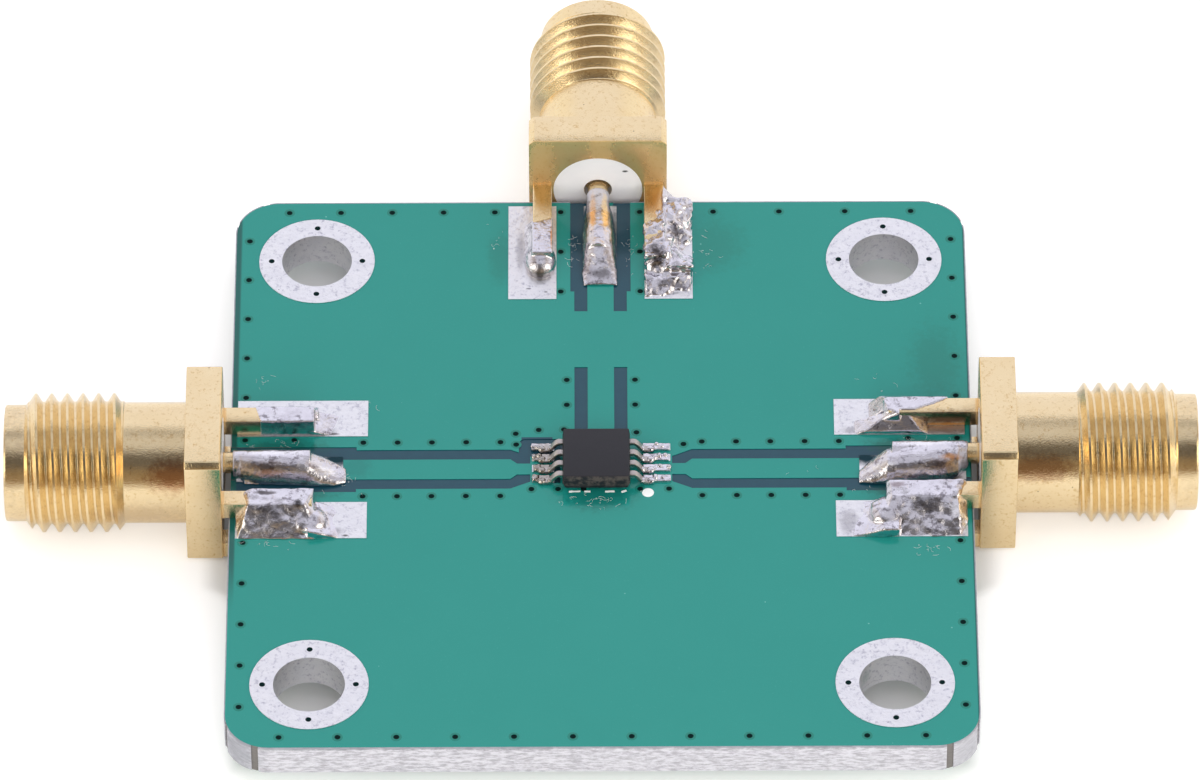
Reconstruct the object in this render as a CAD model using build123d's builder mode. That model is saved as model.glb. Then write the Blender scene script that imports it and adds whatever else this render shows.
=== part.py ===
from build123d import *

import math
import os

# Radio-frequency mixer module: a square circuit board with an eight-lead mixer chip in its middle and a
# threaded coaxial jack soldered over three of its edges. The origin is the centre of the four mounting
# holes on the board's underside, +Z goes up through the board and +Y towards the edge with the lone port.

# Circuit board
board_side = 33.5
board_thickness = 1.6
corner_radius = 2.0
plating_thickness = 0.05
hole_spacing = 26.0
hole_diameter = 3.2
ring_width = 1.05
via_diameter = 0.3
via_sides = 4
edge_break_width = 0.32
edge_break_angle = 18.0

# Coplanar lines, each a conductor between two gaps in the ground plane
line_width = 1.2
line_gap = 0.6
gap_depth = 0.035
launch_clearance = 1.38
launch_length = 5.7
neck_clearance = 0.08
neck_width = 0.66
neck_gap = 0.45
neck_length = 0.6
neck_taper = 0.3
idle_gap_corner = 0.3
back_line_start = 1.2
plain_stretch_start = 6.3
plain_stretch_end = 9.8

# Soldering lands
land_thickness = 0.035
land_edge_margin = 0.3
ground_land_length = 5.9
ground_land_width = 2.2
ground_land_offset = 3.12
signal_land_width = 1.5
signal_land_length = 4.8

# Coaxial jack, measured along its axis from the flange's face on the board side
flange_side = 6.35
flange_thickness = 1.62
flange_chamfer = 0.25
barrel_diameter = 5.45
barrel_length = 2.78
thread_diameter = 6.28
thread_length = 4.45
thread_chamfer = 0.3
nose_diameter = 5.27
nose_length = 0.94
mouth_diameter = 4.6
mouth_depth = 1.95
insulator_diameter = 4.1
insulator_bore = 1.3
leg_width = 0.87
leg_height = 0.9
leg_length = 4.05
leg_offset = 2.56
pin_diameter = 0.92
pin_length = 3.9
pin_film = 0.02
contact_diameter = 1.27
contact_step = 0.5
socket_diameter = 0.94
socket_depth = 2.6
socket_slot_width = 0.2
socket_slot_length = 2.0
port_standoff = 0.3

# Where each jack was soldered along its edge of the board, which of its legs was heaped with solder, and
# how far from the middle of its lands the chip was set
port_shifts = {"left": 0.0, "right": 0.44, "back": 0.1}
heaped_legs = {"left": 1, "right": -1, "back": -1}
chip_shift_x = -0.22
chip_shift_y = -0.22

# Mixer chip: a moulded package with four gull-wing leads on two sides
chip_side = 3.05
chip_thickness = 0.85
chip_standoff = 0.1
chip_draft = 7.0
lead_pitch = 0.65
leads_per_side = 4
lead_span = 4.9
lead_width = 0.3
lead_thickness = 0.15
lead_foot = 0.5
lead_shoulder = 0.25
lead_grip = 0.35
chip_land_inner = 1.85
chip_land_outer = 3.12
chip_land_width = 0.42

# Solder
joint_heel = 0.9
joint_toe = 0.45
joint_corner = 0.25
joint_flank = 22.0
joint_height = 0.62
joint_spread = 0.5
heap_height = 0.8
heap_spread = 1.0
signal_joint_heel = 0.85
signal_joint_skin = 0.07
signal_joint_margin = 0.04
signal_toe_height = 0.1
chip_toe_length = 0.35

# Ground vias
via_inset = 0.65
edge_row_inset = 2.45
front_row_vias = 12
side_row_start = 4.45
side_row_vias = 5
back_left_row_start = 4.85
back_left_row_vias = 5
back_right_row_start = 5.2
back_right_row_vias = 4
fence_offset = 1.65
fence_start = 4.55
fence_vias = 5
launch_fence_offset = 1.82
launch_fence_vias = 3
chip_fence_offset = 1.55
back_fence_rows = (3.95, 5.5)
chip_front_row = -1.24
chip_front_vias = (-3.15, -1.95, -0.8, 1.75, 3.05)
chip_back_vias = ((-3.86, 2.17), (-3.84, 1.5), (-2.82, 2.4), (-1.68, 2.42), (1.6, 2.23), (3.72, 1.5))

# Worked out from the sizes above
half_board = board_side / 2
core_side = board_side - 2 * plating_thickness
core_corner = corner_radius - plating_thickness
ring_diameter = hole_diameter + 2 * ring_width
land_top = board_thickness + land_thickness
land_edge = half_board - land_edge_margin
launch_start = half_board - launch_length
gap_bottom = board_thickness - gap_depth
gap_edge = line_width / 2 + line_gap
flange_face = half_board + port_standoff
axis_height = land_top + pin_film + pin_diameter / 2
thread_start = flange_thickness + barrel_length
thread_end = thread_start + thread_length
port_length = thread_end + nose_length
insulator_length = port_length - mouth_depth
land_middle = lead_pitch / 2
chip_middle = land_middle + chip_shift_y
lead_plane = land_top + chip_standoff + chip_thickness / 2
neck_start = chip_land_outer + neck_clearance

os.makedirs("parts", exist_ok=True)


def save(part, label):
    """Names a finished piece and writes it to its own file."""
    part.label = label
    export_step(part, f"parts/{label}.step")


def evenly(first, last, count):
    """Evenly spaced values from first to last."""
    return [first + (last - first) * step / (count - 1) for step in range(count)]


def edge_rows():
    """Centres of the ground vias that follow the board's outline."""
    line = half_board - via_inset
    reach = half_board - edge_row_inset
    spots = [(x, -line) for x in evenly(-reach, reach, front_row_vias)]
    spots += [(-x, line) for x in evenly(back_left_row_start, reach, back_left_row_vias)]
    spots += [(x, line) for x in evenly(back_right_row_start, reach, back_right_row_vias)]
    for y in evenly(side_row_start, reach, side_row_vias):
        spots += [(x, side * y) for x in (-line, line) for side in (-1, 1)]
    return spots


def line_fences():
    """Centres of the ground vias that stand beside the three lines."""
    spots = []
    for side in (-1, 1):
        for x in evenly(fence_start, launch_start - via_diameter, fence_vias):
            spots += [(x, side * fence_offset), (-x, side * fence_offset)]
        for reach in evenly(launch_start + line_gap, half_board - via_inset, launch_fence_vias)[1:]:
            spots += [(reach, side * launch_fence_offset), (-reach, side * launch_fence_offset)]
        for reach in evenly(launch_start, half_board - via_inset, launch_fence_vias):
            spots.append((side * launch_fence_offset, reach))
        spots += [(side * chip_fence_offset, y) for y in back_fence_rows]
    spots += [(x, chip_front_row) for x in chip_front_vias]
    spots += chip_back_vias
    return spots


# Laminate, ground planes and solder mask, pressed and etched as one sheet
with BuildPart() as circuit_board:
    with BuildSketch():
        RectangleRounded(core_side, core_side, core_corner)
    extrude(amount=board_thickness)

    # Side lines: gaps widened under the jacks' pins and drawn in towards the chip
    with BuildSketch(Plane.XY.offset(gap_bottom)):
        with BuildLine():
            neck_end = neck_start + neck_length
            taper_end = neck_end + neck_taper
            Polyline(
                (neck_start, neck_width / 2),
                (neck_end, neck_width / 2),
                (taper_end, line_width / 2),
                (half_board, line_width / 2),
                (half_board, launch_clearance),
                (launch_start, launch_clearance),
                (launch_start, gap_edge),
                (taper_end, gap_edge),
                (neck_start, neck_width / 2 + neck_gap),
                close=True,
            )
        make_face()
        mirror(about=Plane.XZ)
        mirror(about=Plane.YZ)
    extrude(amount=gap_depth, mode=Mode.SUBTRACT)

    # Back line: the same gaps, with a plain stretch half way
    with BuildSketch(Plane.XY.offset(gap_bottom)):
        for side in (-1, 1):
            for start, end, edge in (
                (back_line_start, plain_stretch_start, gap_edge),
                (plain_stretch_end, launch_start, gap_edge),
                (launch_start, half_board, launch_clearance),
            ):
                with Locations((side * (line_width / 2 + edge) / 2, start)):
                    Rectangle(edge - line_width / 2, end - start, align=(Align.CENTER, Align.MIN))
    extrude(amount=gap_depth, mode=Mode.SUBTRACT)

    # Gap round the one chip land that connects to nothing
    with BuildSketch(Plane.XY.offset(gap_bottom)):
        idle_row = land_middle + lead_pitch * (leads_per_side - 1) / 2
        with Locations((-(chip_land_inner + chip_land_outer) / 2, idle_row)):
            RectangleRounded(
                chip_land_outer - chip_land_inner + 2 * line_gap,
                lead_pitch + chip_land_width,
                idle_gap_corner,
            )
    extrude(amount=gap_depth, mode=Mode.SUBTRACT)

    # Drilled holes. The small ones that join the ground planes are many, so each is drawn with four sides.
    with BuildSketch():
        with GridLocations(hole_spacing, hole_spacing, 2, 2):
            Circle(hole_diameter / 2 + plating_thickness)
        with Locations(*edge_rows(), *line_fences()):
            RegularPolygon(via_diameter / 2, via_sides)
    extrude(amount=board_thickness, mode=Mode.SUBTRACT)
save(circuit_board.part, "circuit_board")

# Tinned plating round the board's edge: open at the three lines, and broken at both ends of each corner
# where tabs held the board while it was plated
with BuildPart() as edge_plating:
    with BuildSketch():
        RectangleRounded(board_side, board_side, corner_radius)
        RectangleRounded(core_side, core_side, core_corner, mode=Mode.SUBTRACT)
    extrude(amount=board_thickness)
    with BuildSketch():
        with Locations((-half_board, 0), (half_board, 0)):
            Rectangle(corner_radius, 2 * launch_clearance)
        with Locations((0, half_board)):
            Rectangle(2 * launch_clearance, corner_radius)
        with PolarLocations(0, 4):
            with Locations((half_board - corner_radius, half_board - corner_radius)):
                for angle in (edge_break_angle, 90 - edge_break_angle):
                    with PolarLocations(corner_radius, 1, start_angle=angle):
                        Rectangle(4 * plating_thickness, edge_break_width)
    extrude(amount=board_thickness, mode=Mode.SUBTRACT)
save(edge_plating.part, "edge_plating")

# Plated mounting holes: a barrel through the board with a wide ring on each face
with BuildPart() as mounting_rings:
    with BuildSketch(Plane.XY.offset(-land_thickness)):
        with GridLocations(hole_spacing, hole_spacing, 2, 2):
            Circle(ring_diameter / 2)
            Circle(hole_diameter / 2, mode=Mode.SUBTRACT)
    extrude(amount=board_thickness + 2 * land_thickness)
    with BuildSketch():
        with GridLocations(hole_spacing, hole_spacing, 2, 2):
            Circle(ring_diameter / 2)
            Circle(hole_diameter / 2 + plating_thickness, mode=Mode.SUBTRACT)
    extrude(amount=board_thickness, mode=Mode.SUBTRACT)
save(mounting_rings.part, "mounting_rings")


def port_lands(length, width, offsets, bottom):
    """Tinned lands for all three ports, reaching in from the board's edge."""
    with BuildPart() as lands:
        with BuildSketch(Plane.XY.offset(bottom)):
            for turn in (0, 90, 180):
                with Locations(Location((0, 0, 0), (0, 0, turn))):
                    with Locations(*[(land_edge, offset) for offset in offsets]):
                        Rectangle(length, width, align=(Align.MAX, Align.CENTER))
        extrude(amount=land_thickness)
    return lands.part


ground_offsets = (-ground_land_offset, ground_land_offset)
save(port_lands(signal_land_length, signal_land_width, (0,), board_thickness), "signal_lands")
save(
    port_lands(ground_land_length, ground_land_width, ground_offsets, board_thickness),
    "upper_ground_lands",
)
save(
    port_lands(ground_land_length, ground_land_width, ground_offsets, -land_thickness),
    "lower_ground_lands",
)

# The chip's eight lands
with BuildPart() as chip_lands:
    with BuildSketch(Plane.XY.offset(board_thickness)):
        for side in (-1, 1):
            with Locations((side * (chip_land_inner + chip_land_outer) / 2, land_middle)):
                with GridLocations(0, lead_pitch, 1, leads_per_side):
                    Rectangle(chip_land_outer - chip_land_inner, chip_land_width)
    extrude(amount=land_thickness)
save(chip_lands.part, "chip_lands")

# Jack body, turned and milled from one bar: legs, flange, barrel, nose, and the length that takes the
# thread, drawn at the thread's outer diameter
with BuildPart() as jack_body:
    with BuildSketch(Plane.YZ) as flange_face_outline:
        Rectangle(flange_side, flange_side)
        chamfer(flange_face_outline.vertices(), flange_chamfer)
    extrude(amount=flange_thickness)
    with BuildSketch(Plane.XZ):
        with BuildLine():
            Polyline(
                (0, 0),
                (0, barrel_diameter / 2),
                (thread_start, barrel_diameter / 2),
                (thread_start + thread_chamfer, thread_diameter / 2),
                (thread_end - thread_chamfer, thread_diameter / 2),
                (thread_end, nose_diameter / 2),
                (port_length, nose_diameter / 2),
                (port_length, 0),
                close=True,
            )
        make_face()
    revolve(axis=Axis.X)
    with BuildSketch(Plane.XZ):
        with BuildLine():
            Polyline(
                (0, 0),
                (0, insulator_diameter / 2),
                (insulator_length, insulator_diameter / 2),
                (insulator_length, mouth_diameter / 2),
                (port_length, mouth_diameter / 2),
                (port_length, 0),
                close=True,
            )
        make_face()
    revolve(axis=Axis.X, mode=Mode.SUBTRACT)
    leg_bottoms = (land_top - axis_height, -land_thickness - leg_height - axis_height)
    with Locations(*[(0, side * leg_offset, bottom) for side in (-1, 1) for bottom in leg_bottoms]):
        Box(leg_length, leg_width, leg_height, align=(Align.MAX, Align.CENTER, Align.MIN))

# Insulator: a white sleeve that fills the jack from the flange to the foot of the mouth
with BuildPart() as jack_insulator:
    with BuildSketch(Plane.YZ):
        Circle(insulator_diameter / 2)
        Circle(insulator_bore / 2, mode=Mode.SUBTRACT)
    extrude(amount=insulator_length)

# Centre contact: solder pin on the board side, slotted socket in the mouth
with BuildPart() as jack_contact:
    with BuildSketch(Plane.XZ):
        with BuildLine():
            Polyline(
                (-pin_length, 0),
                (-pin_length, pin_diameter / 2),
                (contact_step, pin_diameter / 2),
                (contact_step, contact_diameter / 2),
                (insulator_length, contact_diameter / 2),
                (insulator_length, socket_diameter / 2),
                (insulator_length - socket_depth, socket_diameter / 2),
                (insulator_length - socket_depth, 0),
                close=True,
            )
        make_face()
    revolve(axis=Axis.X)
    for turn in (0, 90):
        with Locations(Location((insulator_length, 0, 0), (turn, 0, 0))):
            Box(
                socket_slot_length,
                socket_slot_width,
                contact_diameter,
                align=(Align.MAX, Align.CENTER, Align.CENTER),
                mode=Mode.SUBTRACT,
            )


def leg_solder(shift, heaped):
    """Solder along a jack's four legs, seen with the jack's axis on +X and its flange at the origin."""
    inner = ground_land_offset - ground_land_width / 2
    with BuildPart() as solder:
        for side in (-1, 1):
            outer_side = leg_offset + side * shift + leg_width / 2
            high = side == heaped
            outer = outer_side + (heap_spread if high else joint_spread)
            for bottom, height in (
                (land_top, heap_height if high else joint_height),
                (-land_thickness, -joint_height),
            ):
                with BuildSketch(Plane.XY.offset(bottom)) as footprint:
                    with Locations((-(joint_heel + leg_length + joint_toe) / 2, side * (inner + outer) / 2)):
                        Rectangle(leg_length + joint_toe - joint_heel, outer - inner)
                    chamfer(footprint.vertices(), joint_corner)
                extrude(amount=height, taper=joint_flank)
        legs = [(0, shift + side * leg_offset, axis_height + z) for side in (-1, 1) for z in leg_bottoms]
        with Locations(*legs):
            Box(
                leg_length,
                leg_width,
                leg_height,
                align=(Align.MAX, Align.CENTER, Align.MIN),
                mode=Mode.SUBTRACT,
            )
    return solder.part


def signal_solder(shift):
    """Solder over a jack's pin: a round top with flanks down to the land's edges, cut to a sloping toe."""
    foot = signal_land_width / 2 - signal_joint_margin
    radius = pin_diameter / 2 + signal_joint_skin
    crown = land_top + pin_film + pin_diameter + signal_joint_skin
    toe = -(flange_face - land_edge + signal_land_length - signal_joint_margin)
    with BuildPart() as solder:
        with BuildSketch(Plane.YZ.offset(toe)):
            with BuildLine():
                Line((-foot, land_top), (foot, land_top))
                CenterArc((shift, crown - radius), radius, 0, 180)
            make_hull()
        extrude(amount=-toe - signal_joint_heel)
        with BuildSketch(Plane.XZ):
            with BuildLine():
                Polyline(
                    (toe, land_top + signal_toe_height),
                    (-pin_length, crown),
                    (-pin_length, crown + radius),
                    (toe, crown + radius),
                    close=True,
                )
            make_face()
        extrude(amount=flange_side, both=True, mode=Mode.SUBTRACT)
        with Locations(Location((-pin_length, shift, axis_height), (0, 90, 0))):
            Cylinder(
                pin_diameter / 2,
                pin_length,
                align=(Align.CENTER, Align.CENTER, Align.MIN),
                mode=Mode.SUBTRACT,
            )
    return solder.part


# The three ports: each jack faces out of its edge, shifted along the edge as it was soldered
port_turns = {"left": 180, "right": 0, "back": 90}
for port, turn in port_turns.items():
    facing = Location((0, 0, 0), (0, 0, turn))
    shift = port_shifts[port]
    jack_place = facing * Location((flange_face, shift, axis_height))
    edge_place = facing * Location((flange_face, 0, 0))
    save(jack_body.part.moved(jack_place), f"{port}_jack_body")
    save(jack_insulator.part.moved(jack_place), f"{port}_jack_insulator")
    save(jack_contact.part.moved(jack_place), f"{port}_jack_contact")
    save(leg_solder(shift, heaped_legs[port]).moved(edge_place), f"{port}_leg_solder")
    save(signal_solder(shift).moved(edge_place), f"{port}_signal_solder")

# One gull-wing lead on the +X side, with its root inside the package. The mitre keeps the sheet's
# thickness round both bends.
lead_root = chip_side / 2 - lead_grip
first_bend = chip_side / 2 + lead_shoulder
second_bend = lead_span / 2 - lead_foot
lead_drop = lead_plane - lead_thickness / 2 - land_top
mitre = lead_thickness * math.tan(math.atan2(lead_drop, second_bend - first_bend) / 2) / 2
with BuildPart() as one_lead:
    with BuildSketch(Plane.XZ):
        with BuildLine():
            Polyline(
                (lead_root, lead_plane + lead_thickness / 2),
                (first_bend + mitre, lead_plane + lead_thickness / 2),
                (second_bend + mitre, land_top + lead_thickness),
                (lead_span / 2, land_top + lead_thickness),
                (lead_span / 2, land_top),
                (second_bend - mitre, land_top),
                (first_bend - mitre, lead_plane - lead_thickness / 2),
                (lead_root, lead_plane - lead_thickness / 2),
                close=True,
            )
        make_face()
    extrude(amount=lead_width / 2, both=True)

with BuildPart() as chip_leads:
    for side, turn in ((1, 0), (-1, 180)):
        with Locations((chip_shift_x, chip_middle)):
            with GridLocations(0, lead_pitch, 1, leads_per_side):
                add(one_lead.part, rotation=(0, 0, turn))
save(chip_leads.part, "chip_leads")

# Moulded package, drafted both ways from the plane of the leads
with BuildPart() as chip_package:
    with BuildSketch(Plane.XY.offset(lead_plane)) as package_outline:
        with Locations((chip_shift_x, chip_middle)):
            Rectangle(chip_side, chip_side)
    extrude(amount=chip_thickness / 2, taper=chip_draft)
    extrude(package_outline.sketch, amount=-chip_thickness / 2, taper=chip_draft)
    add(chip_leads.part, mode=Mode.SUBTRACT)
save(chip_package.part, "chip_package")

# Solder in front of each lead's toe
with BuildPart() as chip_solder:
    for side in (-1, 1):
        toe = side * lead_span / 2 + chip_shift_x
        with BuildSketch(Plane.XZ.offset(-chip_middle)) as toe_wedge:
            with BuildLine():
                Polyline(
                    (toe, land_top),
                    (toe, land_top + lead_thickness),
                    (toe + side * chip_toe_length, land_top),
                    close=True,
                )
            make_face()
        for row in evenly(-1.5 * lead_pitch, 1.5 * lead_pitch, leads_per_side):
            extrude(toe_wedge.sketch.moved(Location((0, row, 0))), amount=lead_width / 2, both=True)
save(chip_solder.part, "chip_solder")
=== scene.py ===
import math
import random

import bmesh
import bpy
from mathutils import Euler, Matrix, Vector


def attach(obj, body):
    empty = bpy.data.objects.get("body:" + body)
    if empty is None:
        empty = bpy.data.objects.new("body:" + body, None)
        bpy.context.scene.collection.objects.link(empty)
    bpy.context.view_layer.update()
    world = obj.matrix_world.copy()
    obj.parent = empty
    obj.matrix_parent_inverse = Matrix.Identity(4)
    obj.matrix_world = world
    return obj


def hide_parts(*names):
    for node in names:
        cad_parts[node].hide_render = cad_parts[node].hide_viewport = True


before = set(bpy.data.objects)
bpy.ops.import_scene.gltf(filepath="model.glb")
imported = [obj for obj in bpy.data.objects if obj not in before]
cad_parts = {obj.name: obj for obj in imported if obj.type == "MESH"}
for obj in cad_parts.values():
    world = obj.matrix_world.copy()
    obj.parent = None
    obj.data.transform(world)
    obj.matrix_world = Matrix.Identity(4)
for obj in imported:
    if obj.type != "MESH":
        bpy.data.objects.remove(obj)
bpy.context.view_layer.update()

# Looks of the radio-frequency mixer module. Pieces are modelled in millimetres in the part's own frame,
# and brought to metres when they are finished.

# Sizes of the solid parts that the pieces here sit on or stand for
board_top = 1.6
gap_floor = 1.565
land_top = 1.635
underside_land = -0.035
flange_face = 17.05
axis_height = 2.115
flange_side = 6.35
flange_thickness = 1.62
flange_chamfer = 0.25
barrel_radius = 2.725
thread_start = 4.4
thread_end = 8.85
thread_radius = 3.14
thread_root = 2.77
thread_pitch = 0.7056
nose_radius = 2.635
port_length = 9.79
bore_radius = 2.05
mouth_radius = 2.3
mouth_floor = 7.84
leg_length = 4.05
leg_width = 0.87
leg_height = 0.9
leg_offset = 2.56
pin_length = 3.9
pin_radius = 0.46
ring_top = 1.635
hole_spacing = 26.0
chip_x, chip_y = -0.22, 0.105
chip_side = 3.05
chip_thickness = 0.85
lead_plane = 2.16
lead_pitch = 0.65
lead_reach = 2.45

# How far each jack is turned about the board's middle, and how far it sits off its middle line
port_places = {"left": (180, 0.0), "right": (0, 0.44), "back": (90, 0.1)}

# Sizes that only the looks need
edge_break = 0.05
base = 1.5  # The solder's forms start here, under the lands' top, and are cut off level with it


# Modelling by hand: selections, modifiers and the last steps of a piece

def put_down():
    """Object mode with nothing selected."""
    if bpy.context.object and bpy.context.object.mode != "OBJECT":
        bpy.ops.object.mode_set(mode="OBJECT")
    bpy.ops.object.select_all(action="DESELECT")


def take(piece):
    put_down()
    piece.select_set(True)
    bpy.context.view_layer.objects.active = piece


def open_up(piece):
    """Edit mode on one piece, with all of it selected."""
    take(piece)
    bpy.ops.object.mode_set(mode="EDIT")
    bpy.ops.mesh.select_all(action="SELECT")


def pick(piece, kind, rule):
    """Selects the vertices, edges or faces of an opened piece that a rule names."""
    bpy.ops.mesh.select_mode(type=kind)
    bpy.ops.mesh.select_all(action="DESELECT")
    form = bmesh.from_edit_mesh(piece.data)
    for item in {"VERT": form.verts, "EDGE": form.edges, "FACE": form.faces}[kind]:
        if rule(item):
            item.select_set(True)
    form.select_flush_mode()
    bmesh.update_edit_mesh(piece.data)


def shaped(piece, kind, **settings):
    """Adds one modifier and applies it."""
    take(piece)
    step = piece.modifiers.new(kind.lower(), kind)
    for name, value in settings.items():
        setattr(step, name, value)
    bpy.ops.object.modifier_apply(modifier=step.name)
    return piece


def settled(piece):
    """Puts the object's own place, turn and size into its mesh."""
    take(piece)
    bpy.ops.object.transform_apply(location=True, rotation=True, scale=True)
    return piece


def copied(piece):
    take(piece)
    bpy.ops.object.duplicate(linked=False)
    return bpy.context.object


def joined(pieces):
    put_down()
    for piece in pieces:
        piece.select_set(True)
    bpy.context.view_layer.objects.active = pieces[0]
    bpy.ops.object.join()
    return bpy.context.object


def cut_with(piece, tool, operation="DIFFERENCE"):
    """Cuts a tool out of a piece, or joins it on, and does away with the tool."""
    shaped(piece, "BOOLEAN", operation=operation, object=tool, solver="EXACT")
    bpy.data.objects.remove(tool)
    return piece


def closed_up(piece):
    """Merges doubles and turns every face outwards."""
    open_up(piece)
    bpy.ops.mesh.remove_doubles(threshold=0.0005)
    bpy.ops.mesh.normals_make_consistent(inside=False)
    put_down()
    return piece


def trimmed(piece, point, normal):
    """Cuts away what lies on the normal's side of a plane and closes the cut."""
    open_up(piece)
    bpy.ops.mesh.bisect(plane_co=point, plane_no=normal, use_fill=True, clear_outer=True)
    put_down()
    return piece


def block(centre, size, edge=0.0, turn=0.0):
    """A block, with its edges rounded where a width is given for them."""
    put_down()
    bpy.ops.mesh.primitive_cube_add(size=1, location=centre, rotation=(0, 0, math.radians(turn)))
    piece = bpy.context.object
    piece.scale = size
    settled(piece)
    if edge:
        shaped(piece, "BEVEL", width=edge, segments=2, limit_method="NONE")
    return piece


def ball(centre, radii, turn=0.0):
    put_down()
    bpy.ops.mesh.primitive_uv_sphere_add(
        segments=24, ring_count=14, radius=1, location=centre, rotation=(0, 0, math.radians(turn))
    )
    piece = bpy.context.object
    piece.scale = radii
    return settled(piece)


def rod(start, end, radius, along="X"):
    """A round rod along X or Y."""
    put_down()
    middle = [(a + b) / 2 for a, b in zip(start, end)]
    bpy.ops.mesh.primitive_cylinder_add(
        vertices=24,
        radius=radius,
        depth=math.dist(start, end),
        location=middle,
        rotation=(0, math.pi / 2, 0) if along == "X" else (math.pi / 2, 0, 0),
    )
    return settled(bpy.context.object)


def turned(profile, sides, capped=False):
    """A turned form along X: a circle is extruded and resized from one (x, radius) to the next."""
    put_down()
    x, radius = profile[0]
    bpy.ops.mesh.primitive_circle_add(
        vertices=sides, radius=radius, location=(x, 0, 0), rotation=(0, math.pi / 2, 0)
    )
    piece = settled(bpy.context.object)
    open_up(piece)
    if capped:
        bpy.ops.mesh.edge_face_add()
    for next_x, next_radius in profile[1:]:
        bpy.ops.mesh.extrude_region_move(TRANSFORM_OT_translate={"value": (next_x - x, 0, 0)})
        share = next_radius / radius
        bpy.ops.transform.resize(value=(1, share, share), center_override=(next_x, 0, 0))
        x, radius = next_x, next_radius
    return closed_up(piece)


def finished(piece, name, finish, stands_for=(), smooth=60):
    """Brings a piece to metres, names, shades and dresses it, and seats it on the module.

    A piece that has its own finishes already is given None, and keeps them.
    """
    piece.name = name
    piece.data.name = name
    piece.scale = (0.001, 0.001, 0.001)
    settled(piece)
    bpy.ops.object.shade_smooth_by_angle(angle=math.radians(smooth))
    if finish is not None:
        piece.data.materials.clear()
        piece.data.materials.append(finish)
    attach(piece, "root")
    if stands_for:
        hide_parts(*stands_for)


# Wiring of the finishes

def colour(red, green, blue):
    """A colour given as it shows on a screen, from 0 to 255."""
    straight = [
        value / 12.92 if value <= 0.04045 else ((value + 0.055) / 1.055) ** 2.4
        for value in (red / 255, green / 255, blue / 255)
    ]
    return (*straight, 1.0)


def add(tree, kind, inputs=None, **settings):
    """Adds a node with its settings and inputs; an input is a value or another node's socket."""
    node = tree.nodes.new(kind)
    for name, value in settings.items():
        setattr(node, name, value)
    for name, value in (inputs or {}).items():
        if isinstance(value, bpy.types.NodeSocket):
            tree.links.new(value, node.inputs[name])
        else:
            node.inputs[name].default_value = value
    return node


def sums(tree, operation, first, second=0.0, third=0.0):
    return add(tree, "ShaderNodeMath", {0: first, 1: second, 2: third}, operation=operation).outputs[0]


def soft_step(tree, value, start, end):
    """Goes from 0 at the start to 1 at the end, and stays so beyond them. The end may be the lesser."""
    inputs = {"Value": value, "From Min": start, "From Max": end}
    return add(tree, "ShaderNodeMapRange", inputs, interpolation_type="SMOOTHSTEP").outputs["Result"]


def spread(tree, value, low, high):
    """Spreads a value from 0..1 over low..high."""
    inputs = {"Value": value, "To Min": low, "To Max": high}
    return add(tree, "ShaderNodeMapRange", inputs).outputs["Result"]


def tint(tree, mask, under, over):
    """One colour over another where the mask is 1."""
    return add(tree, "ShaderNodeMix", {0: mask, 6: under, 7: over}, data_type="RGBA").outputs[2]


def laid(tree, skin, mask, share, tone):
    """Lays a tone over a skin where the mask is 1, as far as the share goes."""
    return tint(tree, sums(tree, "MULTIPLY", mask, share), skin, colour(*tone))


def cloud(tree, place, scale, detail=3.0, rough=0.5):
    inputs = {"Vector": place, "Scale": scale, "Detail": detail, "Roughness": rough}
    return add(tree, "ShaderNodeTexNoise", inputs).outputs["Fac"]


def axes(tree, vector):
    """The X, Y and Z of a place or a direction."""
    return add(tree, "ShaderNodeSeparateXYZ", {"Vector": vector}).outputs


def outwards(tree, across):
    """How far a place is from the module's middle, along X or along Y, whichever is more."""
    return sums(tree, "MAXIMUM", sums(tree, "ABSOLUTE", across["X"]), sums(tree, "ABSOLUTE", across["Y"]))


def in_millimetres(tree, stretch=(1, 1, 1)):
    """Object coordinates in millimetres."""
    place = add(tree, "ShaderNodeTexCoord").outputs["Object"]
    scale = [1000 * share for share in stretch]
    return add(tree, "ShaderNodeMapping", {"Vector": place, "Scale": scale}).outputs["Vector"]


def new_group(name, inputs, outputs):
    """A node group with named inputs and outputs, and its input and output nodes."""
    tree = bpy.data.node_groups.new(name, "ShaderNodeTree")
    for title, kind, start in inputs:
        socket = tree.interface.new_socket(title, in_out="INPUT", socket_type=kind)
        if start is not None:
            socket.default_value = start
    for title, kind in outputs:
        tree.interface.new_socket(title, in_out="OUTPUT", socket_type=kind)
    return tree, tree.nodes.new("NodeGroupInput").outputs, tree.nodes.new("NodeGroupOutput").inputs


def specks_group():
    """Scattered round specks: the share of cells that hold one, and how large it is in its cell."""
    tree, given, result = new_group(
        "scattered specks",
        [("Vector", "NodeSocketVector", None), ("Scale", "NodeSocketFloat", 3.0),
         ("Share", "NodeSocketFloat", 0.2), ("Size", "NodeSocketFloat", 0.15)],
        [("Mask", "NodeSocketFloat")],
    )
    cells = add(tree, "ShaderNodeTexVoronoi", {"Vector": given["Vector"], "Scale": given["Scale"]})
    chance = add(tree, "ShaderNodeSeparateColor", {"Color": cells.outputs["Color"]}).outputs["Red"]
    present = sums(tree, "LESS_THAN", chance, given["Share"])
    edge = sums(tree, "MULTIPLY", given["Size"], 0.6)
    near = soft_step(tree, cells.outputs["Distance"], given["Size"], edge)
    tree.links.new(sums(tree, "MULTIPLY", present, near), result["Mask"])
    return tree


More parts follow.
